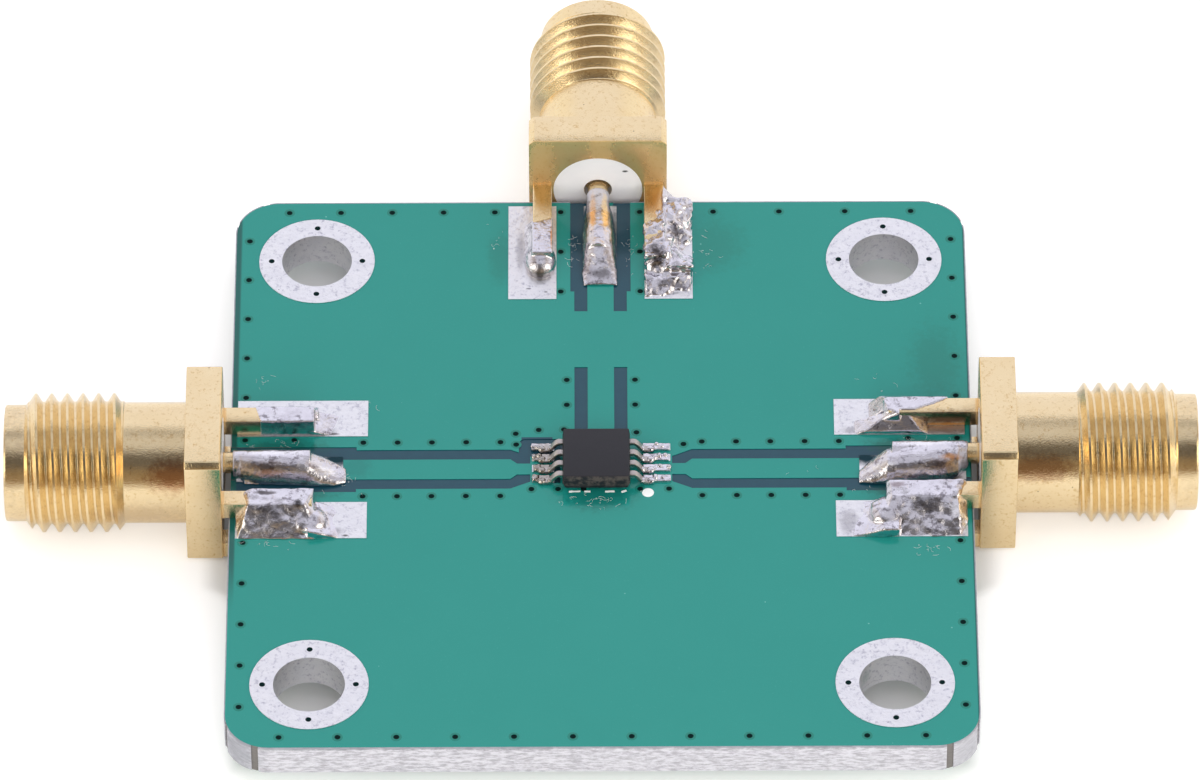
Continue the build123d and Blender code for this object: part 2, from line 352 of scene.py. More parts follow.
def grain_group():
    """Fine grain over soft waves, for bumps and for small changes of gloss."""
    tree, given, result = new_group(
        "grain over waves",
        [("Vector", "NodeSocketVector", None), ("Wave Scale", "NodeSocketFloat", 1.0),
         ("Grain Scale", "NodeSocketFloat", 12.0), ("Grain Share", "NodeSocketFloat", 0.3)],
        [("Height", "NodeSocketFloat")],
    )
    waves = cloud(tree, given["Vector"], given["Wave Scale"], 2.0)
    grain = cloud(tree, given["Vector"], given["Grain Scale"], 4.0, 0.65)
    mixed = add(tree, "ShaderNodeMix", {0: given["Grain Share"], 2: waves, 3: grain})
    tree.links.new(mixed.outputs[0], result["Height"])
    return tree


def spot_group():
    """One soft spot at a place, with its own reach each way and a ragged rim."""
    tree, given, result = new_group(
        "spot",
        [("Vector", "NodeSocketVector", None), ("Centre", "NodeSocketVector", None),
         ("Reach", "NodeSocketVector", None), ("Ragged", "NodeSocketFloat", 0.3)],
        [("Mask", "NodeSocketFloat")],
    )
    away = add(tree, "ShaderNodeVectorMath", {0: given["Vector"], 1: given["Centre"]}, operation="SUBTRACT")
    away = add(tree, "ShaderNodeVectorMath", {0: away.outputs[0], 1: given["Reach"]}, operation="DIVIDE")
    away = add(tree, "ShaderNodeVectorMath", {0: away.outputs[0]}, operation="LENGTH").outputs["Value"]
    wander = sums(tree, "SUBTRACT", cloud(tree, given["Vector"], 3.5, 4.0, 0.7), 0.5)
    away = sums(tree, "ADD", away, sums(tree, "MULTIPLY", wander, given["Ragged"]))
    tree.links.new(soft_step(tree, away, 1.0, 0.3), result["Mask"])
    return tree


def specks(tree, place, scale, share, size):
    inputs = {"Vector": place, "Scale": scale, "Share": share, "Size": size}
    return add(tree, "ShaderNodeGroup", inputs, node_tree=scattered_specks).outputs["Mask"]


def grain(tree, place, wave_scale, grain_scale, share):
    inputs = {"Vector": place, "Wave Scale": wave_scale, "Grain Scale": grain_scale, "Grain Share": share}
    return add(tree, "ShaderNodeGroup", inputs, node_tree=grain_over_waves).outputs["Height"]


def spot(tree, place, centre, reach, ragged=1.2):
    inputs = {"Vector": place, "Centre": centre, "Reach": reach, "Ragged": ragged}
    return add(tree, "ShaderNodeGroup", inputs, node_tree=single_spot).outputs["Mask"]


def stained(tree, place, skin, stains, ragged=1.2):
    """Lays ragged patches over a skin, stains or painted light and shade; each has a centre, a reach each
    way, a tone and its share.
    """
    for centre, reach, tone, share in stains:
        skin = laid(tree, skin, spot(tree, place, centre, reach, ragged), share, tone)
    return skin


def new_finish(name, **constants):
    """A material, its node tree and its shader, with the shader's plain values set."""
    material = bpy.data.materials.new(name)
    material.use_nodes = True
    tree = material.node_tree
    shader = tree.nodes["Principled BSDF"]
    for title, value in constants.items():
        shader.inputs[title.replace("_", " ")].default_value = value
    return material, tree, shader


def feed(tree, shader, **sockets):
    for title, socket in sockets.items():
        tree.links.new(socket, shader.inputs[title.replace("_", " ")])


def bumped(tree, shader, height, strength, distance):
    """A bump whose depth is given in millimetres."""
    inputs = {"Height": height, "Strength": strength, "Distance": distance / 1000}
    feed(tree, shader, Normal=add(tree, "ShaderNodeBump", inputs).outputs["Normal"])


# Finishes

def gold_finish():
    """Thin gold plating, with pits and uneven tone: tarnished brown patches on the barrels, paler patches on
    the noses and under the left barrel, a darker brown right upper leg with painted amber shade at its foot,
    and painted amber shade on a back leg beside the flange. The flanges' inboard faces get an amber tone and
    less metal, a painted reflection that brightens them.
    """
    # Tarnished brown on the barrels and paler patches on the noses; on the legs, darker brown and painted
    # amber shade near the flanges.
    tarnish_and_shade = [
        ((-19.3, -2.2, 3.6), (1.5, 1.0, 1.1), (170, 104, 60), 0.7),
        ((19.7, -1.8, 3.5), (2.2, 1.0, 0.9), (150, 92, 54), 0.6),
        ((-26.4, 0.0, 2.1), (1.6, 3.4, 3.4), (208, 184, 148), 0.8),
        ((26.6, 0.4, 2.1), (1.4, 3.4, 3.4), (214, 190, 152), 0.6),
        ((-20.8, -2.4, 1.6), (3.0, 1.4, 1.0), (206, 182, 146), 0.7),
        ((15.8, 2.55, 2.1), (1.8, 0.4, 0.6), (110, 68, 38), 0.85),
        ((15.6, 2.55, 1.74), (1.7, 0.3, 0.12), (226, 150, 64), 0.8),
        ((2.56, 15.8, 2.6), (0.7, 1.4, 0.5), (214, 150, 76), 0.5),
    ]
    material, tree, shader = new_finish("gold_plate", Metallic=1.0)
    place = in_millimetres(tree)
    tone = cloud(tree, place, 0.9, 3.0)
    metal = tint(tree, tone, colour(243, 223, 182), colour(234, 209, 162))
    fine = cloud(tree, place, 5.0, 5.0, 0.75)
    metal = tint(tree, soft_step(tree, fine, 0.52, 0.74), metal, colour(210, 174, 116))
    pits = specks(tree, place, 2.6, 0.1, 0.1)
    metal = laid(tree, metal, pits, 0.8, (96, 66, 36))
    metal = stained(tree, place, metal, tarnish_and_shade)
    gloss = spread(tree, cloud(tree, place, 7.0, 5.0, 0.7), 0.03, 0.11)
    outward = outwards(tree, axes(tree, place))
    inboard = soft_step(tree, outward, flange_face + 0.07, flange_face + 0.02)
    satin = sums(tree, "MULTIPLY", inboard, spread(tree, cloud(tree, place, 3.0, 4.0, 0.6), 0.02, 0.2))
    for centre in ((0, flange_face, 5.2), (-2.7, flange_face, 3.9), (2.7, flange_face, 3.9)):
        frost = sums(tree, "MULTIPLY", spot(tree, place, centre, (0.9, 0.5, 2.2)), 0.4)
        satin = sums(tree, "MAXIMUM", satin, frost)
    # The flanges' inboard faces: an amber tone and less metal, so that the lamps light them; a painted
    # reflection.
    face = sums(tree, "MULTIPLY", inboard, soft_step(tree, outward, flange_face - 0.15, flange_face - 0.05))
    metal = laid(tree, metal, face, 0.5, (230, 180, 100))
    solid = sums(tree, "MULTIPLY_ADD", face, -0.3, 1.0)
    feed(tree, shader, Base_Color=metal, Metallic=solid, Roughness=sums(tree, "ADD", gloss, satin))
    bumped(tree, shader, grain(tree, place, 2.2, 14.0, 0.6), 0.55, 0.035)
    return material


def solder_finish(name="solder", burnt=()):
    """Soft bright solder: smooth where it flowed, frosted, greyed and pitted where it cooled."""
    material, tree, shader = new_finish(name, Metallic=1.0)
    place = in_millimetres(tree)
    metal = tint(tree, cloud(tree, place, 1.8, 4.0, 0.6), colour(240, 238, 244), colour(202, 198, 208))
    grey = soft_step(tree, cloud(tree, place, 2.4, 5.0, 0.7), 0.52, 0.66)
    metal = laid(tree, metal, grey, 0.8, (122, 116, 124))
    metal = stained(tree, place, metal, burnt)
    pits = specks(tree, place, 3.2, 0.12, 0.13)
    metal = laid(tree, metal, pits, 0.85, (36, 32, 36))
    frost = soft_step(tree, cloud(tree, place, 1.3, 3.0), 0.42, 0.62)
    feed(tree, shader, Base_Color=metal, Roughness=spread(tree, frost, 0.06, 0.26))
    bumped(tree, shader, grain(tree, place, 2.2, 11.0, 0.35), 0.8, 0.05)
    return material


def tin_finish(name="levelled_tin", stains=(), shade_under_leads=False):
    """Levelled tin: pale and slightly violet. Where asked, the lands' ends nearest the chip, under its
    leads, are painted dark slate: painted shade.
    """
    material, tree, shader = new_finish(name, Metallic=1.0)
    place = in_millimetres(tree)
    metal = tint(tree, cloud(tree, place, 1.3, 4.0, 0.6), colour(246, 245, 246), colour(226, 226, 232))
    fine = cloud(tree, place, 4.5, 5.0, 0.75)
    metal = tint(tree, soft_step(tree, fine, 0.5, 0.72), metal, colour(184, 183, 195))
    marks = specks(tree, place, 1.9, 0.04, 0.07)
    metal = laid(tree, metal, marks, 0.6, (96, 90, 100))
    metal = stained(tree, place, metal, stains, 0.7)
    if shade_under_leads:
        # Painted shade: dark slate on the lands' ends nearest the chip, under its leads.
        middle, shade_end = -0.1, 2.0
        across = sums(tree, "SUBTRACT", axes(tree, place)["X"], middle)
        under_leads = soft_step(tree, sums(tree, "ABSOLUTE", across), shade_end + 0.06, shade_end)
        metal = tint(tree, under_leads, metal, colour(34, 62, 70))
    gloss = spread(tree, cloud(tree, place, 5.0, 4.0, 0.6), 0.26, 0.46)
    feed(tree, shader, Base_Color=metal, Roughness=gloss)
    bumped(tree, shader, grain(tree, place, 1.2, 5.0, 0.55), 0.9, 0.06)
    return material


def edge_finish():
    """Tinned edge plating, drawn out in streaks along the board's rim."""
    material, tree, shader = new_finish("edge_tin", Metallic=0.35)
    streaks = cloud(tree, in_millimetres(tree, (1.1, 1.1, 4.5)), 1.8, 6.0, 0.75)
    metal = tint(tree, soft_step(tree, streaks, 0.40, 0.64), colour(220, 221, 230), colour(172, 172, 182))
    place = in_millimetres(tree)
    height = axes(tree, place)["Z"]
    ragged = sums(tree, "MULTIPLY", sums(tree, "SUBTRACT", cloud(tree, place, 1.7, 4.0, 0.7), 0.5), 0.5)
    lip = soft_step(tree, sums(tree, "ADD", height, ragged), 1.42, 1.56)
    metal = laid(tree, metal, lip, 0.7, (136, 140, 150))
    # Greyer tin at the two front corners; the dark brown on the left and right rims, under the jacks between
    # their legs, is painted shade.
    stains = [
        ((-16.3, -16.3, 0.8), (1.7, 1.7, 1.6), (150, 154, 164), 0.7),
        ((16.3, -16.3, 0.8), (1.5, 1.5, 1.6), (176, 178, 186), 0.6),
        ((-16.75, 0.5, 0.8), (0.4, 1.9, 1.4), (62, 52, 46), 0.9),
        ((16.75, 0.8, 0.8), (0.4, 2.3, 1.4), (62, 50, 42), 0.9),
    ]
    metal = stained(tree, place, metal, stains)
    feed(tree, shader, Base_Color=metal, Roughness=spread(tree, streaks, 0.35, 0.6))
    bumped(tree, shader, streaks, 0.9, 0.06)
    return material


def mask_finish():
    """Glossy mask over copper, slate where the copper is etched away, and bare laminate at the rim."""
    material, tree, shader = new_finish("solder_mask", IOR=1.45)
    place = in_millimetres(tree)
    across = axes(tree, place)
    facing = axes(tree, add(tree, "ShaderNodeNewGeometry").outputs["Normal"])
    upright = sums(tree, "LESS_THAN", sums(tree, "ABSOLUTE", facing["Z"]), 0.5)
    green = tint(tree, cloud(tree, place, 0.35, 3.0), colour(24, 132, 124), colour(29, 135, 127))
    flecks = soft_step(tree, cloud(tree, place, 9.0, 4.0, 0.7), 0.6, 0.85)
    green = tint(tree, flecks, green, colour(48, 150, 140))
    etched = sums(tree, "COMPARE", across["Z"], gap_floor, 0.012)
    slate = tint(tree, cloud(tree, place, 2.0, 3.0), colour(22, 62, 80), colour(26, 70, 86))
    beside_chip = sums(
        tree, "MULTIPLY",
        sums(tree, "COMPARE", across["X"], -2.9, 0.7), sums(tree, "COMPARE", across["Y"], 1.4, 0.55),
    )
    skin = tint(tree, sums(tree, "MAXIMUM", etched, beside_chip), green, slate)
    dull_rim = colour(18, 88, 84)
    left_rim = sums(
        tree, "MULTIPLY",
        soft_step(tree, across["X"], -16.40, -16.52), soft_step(tree, across["Y"], -9.0, -5.0),
    )
    skin = tint(tree, left_rim, skin, dull_rim)
    right_rim = soft_step(tree, across["X"], 16.62, 16.66)
    skin = tint(tree, right_rim, skin, dull_rim)
    # Darker greens: painted shade in front of the chip and beside the left and right pins, between the pins
    # and the legs, and fainter darker patches by the back jack, at the left pin's toe and near the right
    # edge.
    painted_shade_and_patches = [
        ((-0.2, -1.7, 1.6), (2.2, 1.1, 1.0), (10, 78, 72), 0.5),
        ((5.2, 14.0, 1.6), (2.0, 2.2, 1.0), (22, 104, 92), 0.35),
        ((-4.6, 13.2, 1.6), (0.8, 2.2, 1.0), (20, 100, 90), 0.35),
        ((-14.4, 1.3, 1.6), (2.6, 0.7, 1.0), (10, 80, 72), 0.6),
        ((-14.2, -1.5, 1.6), (2.8, 0.5, 1.0), (10, 76, 68), 0.6),
        ((-11.0, 0.2, 1.6), (0.9, 1.0, 1.0), (24, 78, 82), 0.22),
        ((13.8, 1.4, 1.6), (2.6, 0.6, 1.0), (10, 78, 70), 0.6),
        ((13.6, -1.3, 1.6), (2.6, 0.5, 1.0), (10, 76, 68), 0.6),
        ((15.2, 6.5, 1.6), (1.6, 3.2, 1.0), (22, 108, 98), 0.45),
    ]
    skin = stained(tree, place, skin, painted_shade_and_patches)
    dust = specks(tree, place, 1.1, 0.16, 0.05)
    skin = laid(tree, skin, dust, 0.5, (140, 205, 195))
    rim = sums(tree, "MULTIPLY", upright, sums(tree, "GREATER_THAN", outwards(tree, across), 14.0))
    fibres = cloud(tree, in_millimetres(tree, (3, 3, 14)), 1.0, 3.0)
    skin = tint(tree, rim, skin, tint(tree, fibres, colour(124, 121, 119), colour(92, 90, 88)))
    gloss = spread(tree, cloud(tree, place, 4.0, 3.0), 0.10, 0.18)
    feed(tree, shader, Base_Color=skin, Roughness=gloss)
    bumped(tree, shader, grain(tree, place, 1.2, 14.0, 0.12), 0.25, 0.01)
    return material


def fluoropolymer_finish():
    """White sleeve, faintly translucent, with a few handling marks."""
    material, tree, shader = new_finish("white_sleeve", Subsurface_Weight=0.15, Subsurface_Scale=0.001)
    shader.inputs["Subsurface Radius"].default_value = (1.0, 1.0, 1.0)
    place = in_millimetres(tree)
    white = tint(tree, cloud(tree, place, 1.2, 3.0), colour(236, 236, 240), colour(226, 226, 233))
    marks = specks(tree, place, 1.4, 0.15, 0.08)
    white = laid(tree, white, marks, 0.6, (90, 88, 96))
    white = stained(tree, place, white, [((1.17, flange_face, 3.31), (0.17, 0.3, 0.08), (50, 48, 54), 1.0)])
    feed(tree, shader, Base_Color=white, Roughness=spread(tree, cloud(tree, place, 7.0), 0.35, 0.5))
    bumped(tree, shader, grain(tree, place, 2.0, 16.0, 0.4), 0.3, 0.01)
    return material


def moulding_finish():
    """Dark violet-grey moulding compound with a fine matt grain."""
    material, tree, shader = new_finish("moulding_compound", IOR=1.5)
    place = in_millimetres(tree)
    body = tint(tree, cloud(tree, place, 3.0, 4.0, 0.6), colour(22, 23, 31), colour(28, 28, 36))
    dust = specks(tree, place, 7.0, 0.2, 0.09)
    body = laid(tree, body, dust, 0.2, (110, 106, 112))
    front = soft_step(tree, axes(tree, place)["Y"], -1.34, -1.39)
    smear = sums(tree, "MULTIPLY", front, soft_step(tree, cloud(tree, place, 4.0, 5.0, 0.7), 0.42, 0.6))
    body = laid(tree, body, smear, 0.5, (104, 94, 90))
    feed(tree, shader, Base_Color=body, Roughness=spread(tree, cloud(tree, place, 20.0), 0.5, 0.65))
    bumped(tree, shader, grain(tree, place, 6.0, 30.0, 0.6), 0.5, 0.012)
    return material


def lead_finish():
    """Plated leads: warm grey tin with brushed tone."""
    material, tree, shader = new_finish("plated_lead", Metallic=1.0)
    place = in_millimetres(tree)
    metal = tint(tree, cloud(tree, place, 5.0, 4.0, 0.6), colour(206, 199, 196), colour(166, 158, 154))
    feed(tree, shader, Base_Color=metal, Roughness=spread(tree, cloud(tree, place, 12.0), 0.28, 0.45))
    bumped(tree, shader, grain(tree, place, 6.0, 20.0, 0.4), 0.5, 0.015)
    return material


def via_rim_finish():
    """Solder mask that sinks towards a via."""
    material, tree, shader = new_finish("via_rim", IOR=1.45)
    place = in_millimetres(tree)
    green = tint(tree, cloud(tree, place, 3.0, 2.0), colour(16, 104, 94), colour(22, 128, 116))
    feed(tree, shader, Base_Color=green, Roughness=spread(tree, cloud(tree, place, 6.0), 0.15, 0.3))
    bumped(tree, shader, grain(tree, place, 3.0, 14.0, 0.3), 0.3, 0.01)
    return material


def via_hole_shade_finish():
    """A flat dark disc over a via: painted shade standing for its hole."""
    material, tree, shader = new_finish("via_hole_shade", Specular_IOR_Level=0.05)
    place = in_millimetres(tree)
    dark = tint(tree, cloud(tree, place, 6.0, 2.0), colour(2, 22, 22), colour(6, 36, 36))
    feed(tree, shader, Base_Color=dark, Roughness=spread(tree, cloud(tree, place, 9.0), 0.5, 0.8))
    return material


def ink_finish():
    """White marking ink, thin at its rim."""
    material, tree, shader = new_finish("marking_ink")
    place = in_millimetres(tree)
    white = tint(tree, cloud(tree, place, 5.0, 4.0, 0.7), colour(246, 246, 248), colour(214, 224, 224))
    feed(tree, shader, Base_Color=white, Roughness=spread(tree, cloud(tree, place, 11.0), 0.4, 0.6))
    bumped(tree, shader, grain(tree, place, 4.0, 22.0, 0.5), 0.4, 0.01)
    return material


# Jacks

def thread_groove():
    """The tool that leaves the thread: a blunt V wound along the axis, from before the thread to past it."""
    width, root_share, root_round = 0.65, 0.16, 0.035
    over_crest, lead_in, beyond = 0.04, 1.37, 2.0
    put_down()
    bpy.ops.mesh.primitive_plane_add(size=1, rotation=(math.pi / 2, 0, 0))
    piece = bpy.context.object
    depth = thread_radius + over_crest - thread_root
    piece.scale = (width, depth, 1)
    start = thread_start - lead_in
    piece.location = (start, 0, thread_root + depth / 2)
    settled(piece)
    open_up(piece)
    pick(piece, "VERT", lambda v: v.co.z < thread_root + depth / 2)
    bpy.ops.transform.resize(value=(root_share, 1, 1), center_override=(start, 0, thread_root))
    bpy.ops.mesh.bevel(offset=root_round, segments=2, affect="VERTICES")
    bpy.ops.mesh.select_all(action="SELECT")
    bpy.ops.mesh.delete(type="ONLY_FACE")
    turns = math.ceil((thread_end - thread_start + beyond) / thread_pitch)
    shaped(
        piece, "SCREW", axis="X", angle=2 * math.pi, screw_offset=thread_pitch,
        iterations=turns, steps=72, render_steps=72,
    )
    open_up(piece)
    bpy.ops.mesh.fill_holes(sides=0)
    return closed_up(piece)


def jack_form():
    """One jack body with its flange at the origin and its mouth along +X."""
    flange = block((flange_thickness / 2, 0, 0), (flange_thickness, flange_side, flange_side))
    open_up(flange)
    pick(flange, "EDGE", lambda e: abs(e.verts[0].co.x - e.verts[1].co.x) > 1)
    bpy.ops.mesh.bevel(offset=flange_chamfer, segments=1, affect="EDGES")
    put_down()
    shaped(flange, "BEVEL", width=edge_break, segments=2, limit_method="ANGLE", angle_limit=0.6)
    blank = turned(
        [
            (0.5, barrel_radius), (thread_start, barrel_radius),
            (thread_start + 0.3, thread_radius), (thread_end - 0.35, thread_radius),
            (thread_end, nose_radius), (port_length - 0.16, nose_radius), (port_length - 0.1, nose_radius),
            (port_length - 0.03, nose_radius - 0.03), (port_length, nose_radius - 0.1),
        ],
        96,
        capped=True,
    )
    body = cut_with(blank, thread_groove())
    body = cut_with(body, flange, "UNION")
    for side in (-1, 1):
        for bottom in (land_top - axis_height, underside_land - leg_height - axis_height):
            leg = block(
                (-leg_length / 2 + 0.15, side * leg_offset, bottom + leg_height / 2),
                (leg_length + 0.3, leg_width, leg_height),
                0.04,
            )
            body = cut_with(body, leg, "UNION")
    bore = turned(
        [
            (-0.5, bore_radius), (mouth_floor, bore_radius), (mouth_floor, mouth_radius),
            (port_length - 0.12, mouth_radius), (port_length + 0.2, mouth_radius + 0.3),
        ],
        96,
        capped=True,
    )
    return cut_with(body, bore)


def pin_form():
    """The centre contact: solder pin, shoulder in the sleeve and slotted socket."""
    shoulder, lip, socket_bore, socket_depth = 0.635, 0.575, 0.47, 2.6
    slot_depth, slot_width, overlap = 2.0, 0.2, 0.2
    socket_end, socket_floor = mouth_floor, mouth_floor - socket_depth
    piece = turned(
        [
            (-pin_length, pin_radius - 0.12), (-pin_length + 0.12, pin_radius), (0.5, pin_radius),
            (0.5, shoulder), (socket_end - 0.06, shoulder), (socket_end, lip), (socket_end, socket_bore),
            (socket_floor, socket_bore), (socket_floor, 0.1),
        ],
        40,
    )
    open_up(piece)
    bpy.ops.mesh.select_all(action="DESELECT")
    bpy.ops.mesh.select_mode(type="EDGE")
    bpy.ops.mesh.select_non_manifold()
    bpy.ops.mesh.edge_face_add()
    bpy.ops.mesh.select_all(action="SELECT")
    bpy.ops.mesh.fill_holes(sides=0)
    closed_up(piece)
    for turn in (0, 90):
        slot = block(
            (socket_end - slot_depth / 2 + overlap / 2, 0, 0), (slot_depth + overlap, slot_width, 1.5)
        )
        slot.rotation_euler = (math.radians(turn), 0, 0)
        cut_with(piece, settled(slot))
    return piece


def seated(form, port):
    """A copy of a jack's piece, turned and moved to its port."""
    turn, shift = port_places[port]
    piece = copied(form)
    piece.rotation_euler = (0, 0, math.radians(turn))
    facing = Matrix.Rotation(math.radians(turn), 3, "Z")
    piece.location = facing @ Vector((flange_face, shift, axis_height))
    return settled(piece)


def make_jacks(gold):
    body, pin = jack_form(), pin_form()
    for port in port_places:
        finished(seated(body, port), f"{port}_body", gold, [f"{port}_jack_body"], 25)
        finished(seated(pin, port), f"{port}_pin", gold, [f"{port}_jack_contact"], 30)
    bpy.data.objects.remove(body)
    bpy.data.objects.remove(pin)


# Solder

def unrest(size):
    pattern = bpy.data.textures.new(f"unrest {size}", "CLOUDS")
    pattern.noise_scale = size
    pattern.noise_depth = 1
    return pattern


def melted(forms, voxel=0.04, smoothing=6, wave=0.08, wave_size=0.6, ripple=0.02, ripple_size=0.16):
    """Runs simple forms together into one lump with an uneven skin."""
    piece = joined(forms)
    shaped(piece, "REMESH", mode="VOXEL", voxel_size=voxel, use_smooth_shade=True)
    shaped(piece, "SMOOTH", factor=0.5, iterations=smoothing)
    for depth, size in ((wave, wave_size), (ripple, ripple_size)):
        if depth:
            shaped(
                piece, "DISPLACE",
                texture=unrest(size), strength=depth, mid_level=0.5, texture_coords="LOCAL",
            )
    shaped(piece, "SMOOTH", factor=0.5, iterations=3)
    return piece


def roof(low, high, *cuts):
    """A block between two corners, cut by sloping planes; each plane is a point and the way it faces."""
    middle = [(a + b) / 2 for a, b in zip(low, high)]
    piece = block(middle, [b - a for a, b in zip(low, high)])
    for point, normal in cuts:
        trimmed(piece, point, normal)
    return piece


def upper_lump(forms, **skin):
    """A lump that stands on the lands."""
    return trimmed(melted(forms, **skin), (0, 0, land_top), (0, 0, -1))


def bead(along, stations):
    """A long bead: an oval is extruded along X or Y through (place, centre across, half width, top)."""
    put_down()
    place, centre, half, top = stations[0]
    x_way = along == "X"
    start = (place, centre, land_top) if x_way else (centre, place, land_top)
    bpy.ops.mesh.primitive_circle_add(
        vertices=32, radius=1, fill_type="NGON", location=start,
        rotation=(0, math.pi / 2, 0) if x_way else (math.pi / 2, 0, 0),
    )
    piece = settled(bpy.context.object)
    open_up(piece)
    bpy.ops.transform.resize(value=(1, half, top) if x_way else (half, 1, top), center_override=start)
    for next_place, next_centre, next_half, next_top in stations[1:]:
        step, across = next_place - place, next_centre - centre
        share, lift = next_half / half, next_top / top
        middle = (next_place, next_centre, land_top) if x_way else (next_centre, next_place, land_top)
        bpy.ops.mesh.extrude_region_move(
            TRANSFORM_OT_translate={"value": (step, across, 0) if x_way else (across, step, 0)}
        )
        bpy.ops.transform.resize(
            value=(1, share, lift) if x_way else (share, 1, lift), center_override=middle
        )
        place, centre, half, top = next_place, next_centre, next_half, next_top
    return closed_up(piece)


def left_solder():
    """The left jack: a plain fillet behind, a full one over the pin and a broad sloping heap in front."""
    behind = upper_lump(
        [
            roof((-15.62, 2.09, base), (-12.96, 3.03, 2.57), ((-15.5, 2.5, 0), (-1, -0.27, 0))),
            roof((-15.5, 2.8, base), (-12.8, 3.75, 2.35), ((0, 3.05, 2.3), (0, 0.62, 0.78))),
            roof((-13.2, 2.08, base), (-11.6, 3.3, 1.9), ((-12.9, 2.6, 1.9), (0.3, -0.1, 0.94))),
        ],
        wave=0.03,
        ripple=0.02,
    )
    pin = upper_lump(
        [
            bead("X", [
                (-16.6, 0.0, 0.5, 0.98), (-16.25, -0.02, 0.72, 1.03), (-15.2, -0.08, 0.86, 1.05),
                (-14.0, -0.1, 0.88, 1.05), (-13.3, -0.14, 0.88, 0.96), (-12.6, -0.22, 0.84, 0.58),
                (-12.0, -0.34, 0.7, 0.3), (-11.5, -0.42, 0.44, 0.1),
            ]),
            rod((-16.6, 0, axis_height), (-13.1, 0, axis_height), 0.54),
            roof((-16.1, -0.95, base), (-12.6, -0.2, 2.2), ((0, -0.8, 1.75), (0, -0.75, 0.66))),
        ],
        smoothing=8,
        wave=0.05,
        wave_size=0.9,
        ripple=0.02,
    )
    heap = upper_lump(
        [
            roof(
                (-16.45, -4.26, base), (-12.9, -2.08, 2.64),
                ((0, -3.05, 2.64), (0, -0.64, 0.77)), ((-15.75, -2.1, 0), (-0.5, 0.86, 0)),
                ((-16.05, -3.4, 2.3), (-0.8, -0.15, 0.55)), ((-12.95, -2.6, 2.5), (0.62, -0.3, 0.7)),
            ),
            ball((-13.2, -3.3, 1.75), (0.9, 0.8, 0.5)),
            roof((-13.2, -4.2, base), (-11.3, -2.2, 2.1), ((-12.8, -3, 1.9), (0.3, 0.05, 0.95))),
        ],
        smoothing=9,
        wave=0.16,
        wave_size=0.75,
        ripple=0.03,
        ripple_size=0.3,
    )
    return [behind, heap], pin


def right_solder():
    """The right jack: solder climbs the back of one leg and covers the whole of the other."""
    behind = upper_lump(
        [
            roof((12.9, 2.68, base), (15.7, 3.5, 2.59), ((14.29, 2.72, 0), (0.42, -0.9, 0))),
            roof(
                (12.1, 2.9, base), (15.6, 3.95, 2.5),
                ((0, 3.45, 2.5), (0, 0.6, 0.8)), ((12.9, 0, 2.45), (-0.72, 0, 0.69)),
            ),
            roof((12.8, 2.4, base), (13.5, 3.4, 2.6), ((13.1, 2.6, 2.5), (-0.5, -0.4, 0.77))),
            roof(
                (11.45, 2.04, base), (14.8, 2.8, 2.45),
                ((13.2, 2.45, 2.2), (0, -0.68, 0.73)), ((12.9, 2.5, 2.3), (-0.4, -0.1, 0.9)),
                ((14.2, 2.4, 2.1), (0.45, -0.3, 0.84)),
            ),
            ball((14.35, 2.4, 1.65), (0.4, 0.3, 0.28)),
        ],
        smoothing=9,
        wave=0.05,
        wave_size=0.8,
        ripple=0.012,
    )
    pin = upper_lump(
        [
            bead("X", [
                (11.6, -0.6, 0.36, 0.1), (12.2, -0.3, 0.72, 0.4), (12.9, -0.06, 0.94, 0.84),
                (13.6, 0.03, 0.98, 1.0), (14.5, 0.06, 0.99, 1.05), (15.5, 0.1, 0.96, 1.05),
                (16.1, 0.2, 0.86, 1.02), (16.55, 0.44, 0.54, 0.98),
            ]),
            rod((13.1, 0.44, axis_height), (16.5, 0.44, axis_height), 0.54),
            ball((13.9, -0.2, 2.05), (0.45, 0.45, 0.34)),
        ],
        smoothing=6,
        wave=0.06,
        wave_size=0.8,
        ripple=0.025,
    )
    heap = upper_lump(
        [
            roof(
                (12.8, -4.26, base), (16.45, -1.66, 2.64),
                ((0, -2.66, 2.64), (0, -0.54, 0.84)), ((16.4, -3.5, 1.7), (0.75, -0.3, 0.58)),
                ((16.35, -1.7, 0), (0.3, 0.95, 0)), ((12.95, -2.3, 2.55), (-0.72, -0.1, 0.68)),
            ),
            ball((12.9, -3.0, 1.85), (0.9, 0.9, 0.5)),
            roof((11.0, -4.22, base), (13.4, -2.1, 2.1), ((12.6, -3.2, 1.95), (-0.3, 0.1, 0.95))),
        ],
        smoothing=9,
        wave=0.16,
        wave_size=0.7,
        ripple=0.03,
        ripple_size=0.3,
    )
    return [behind, heap], pin


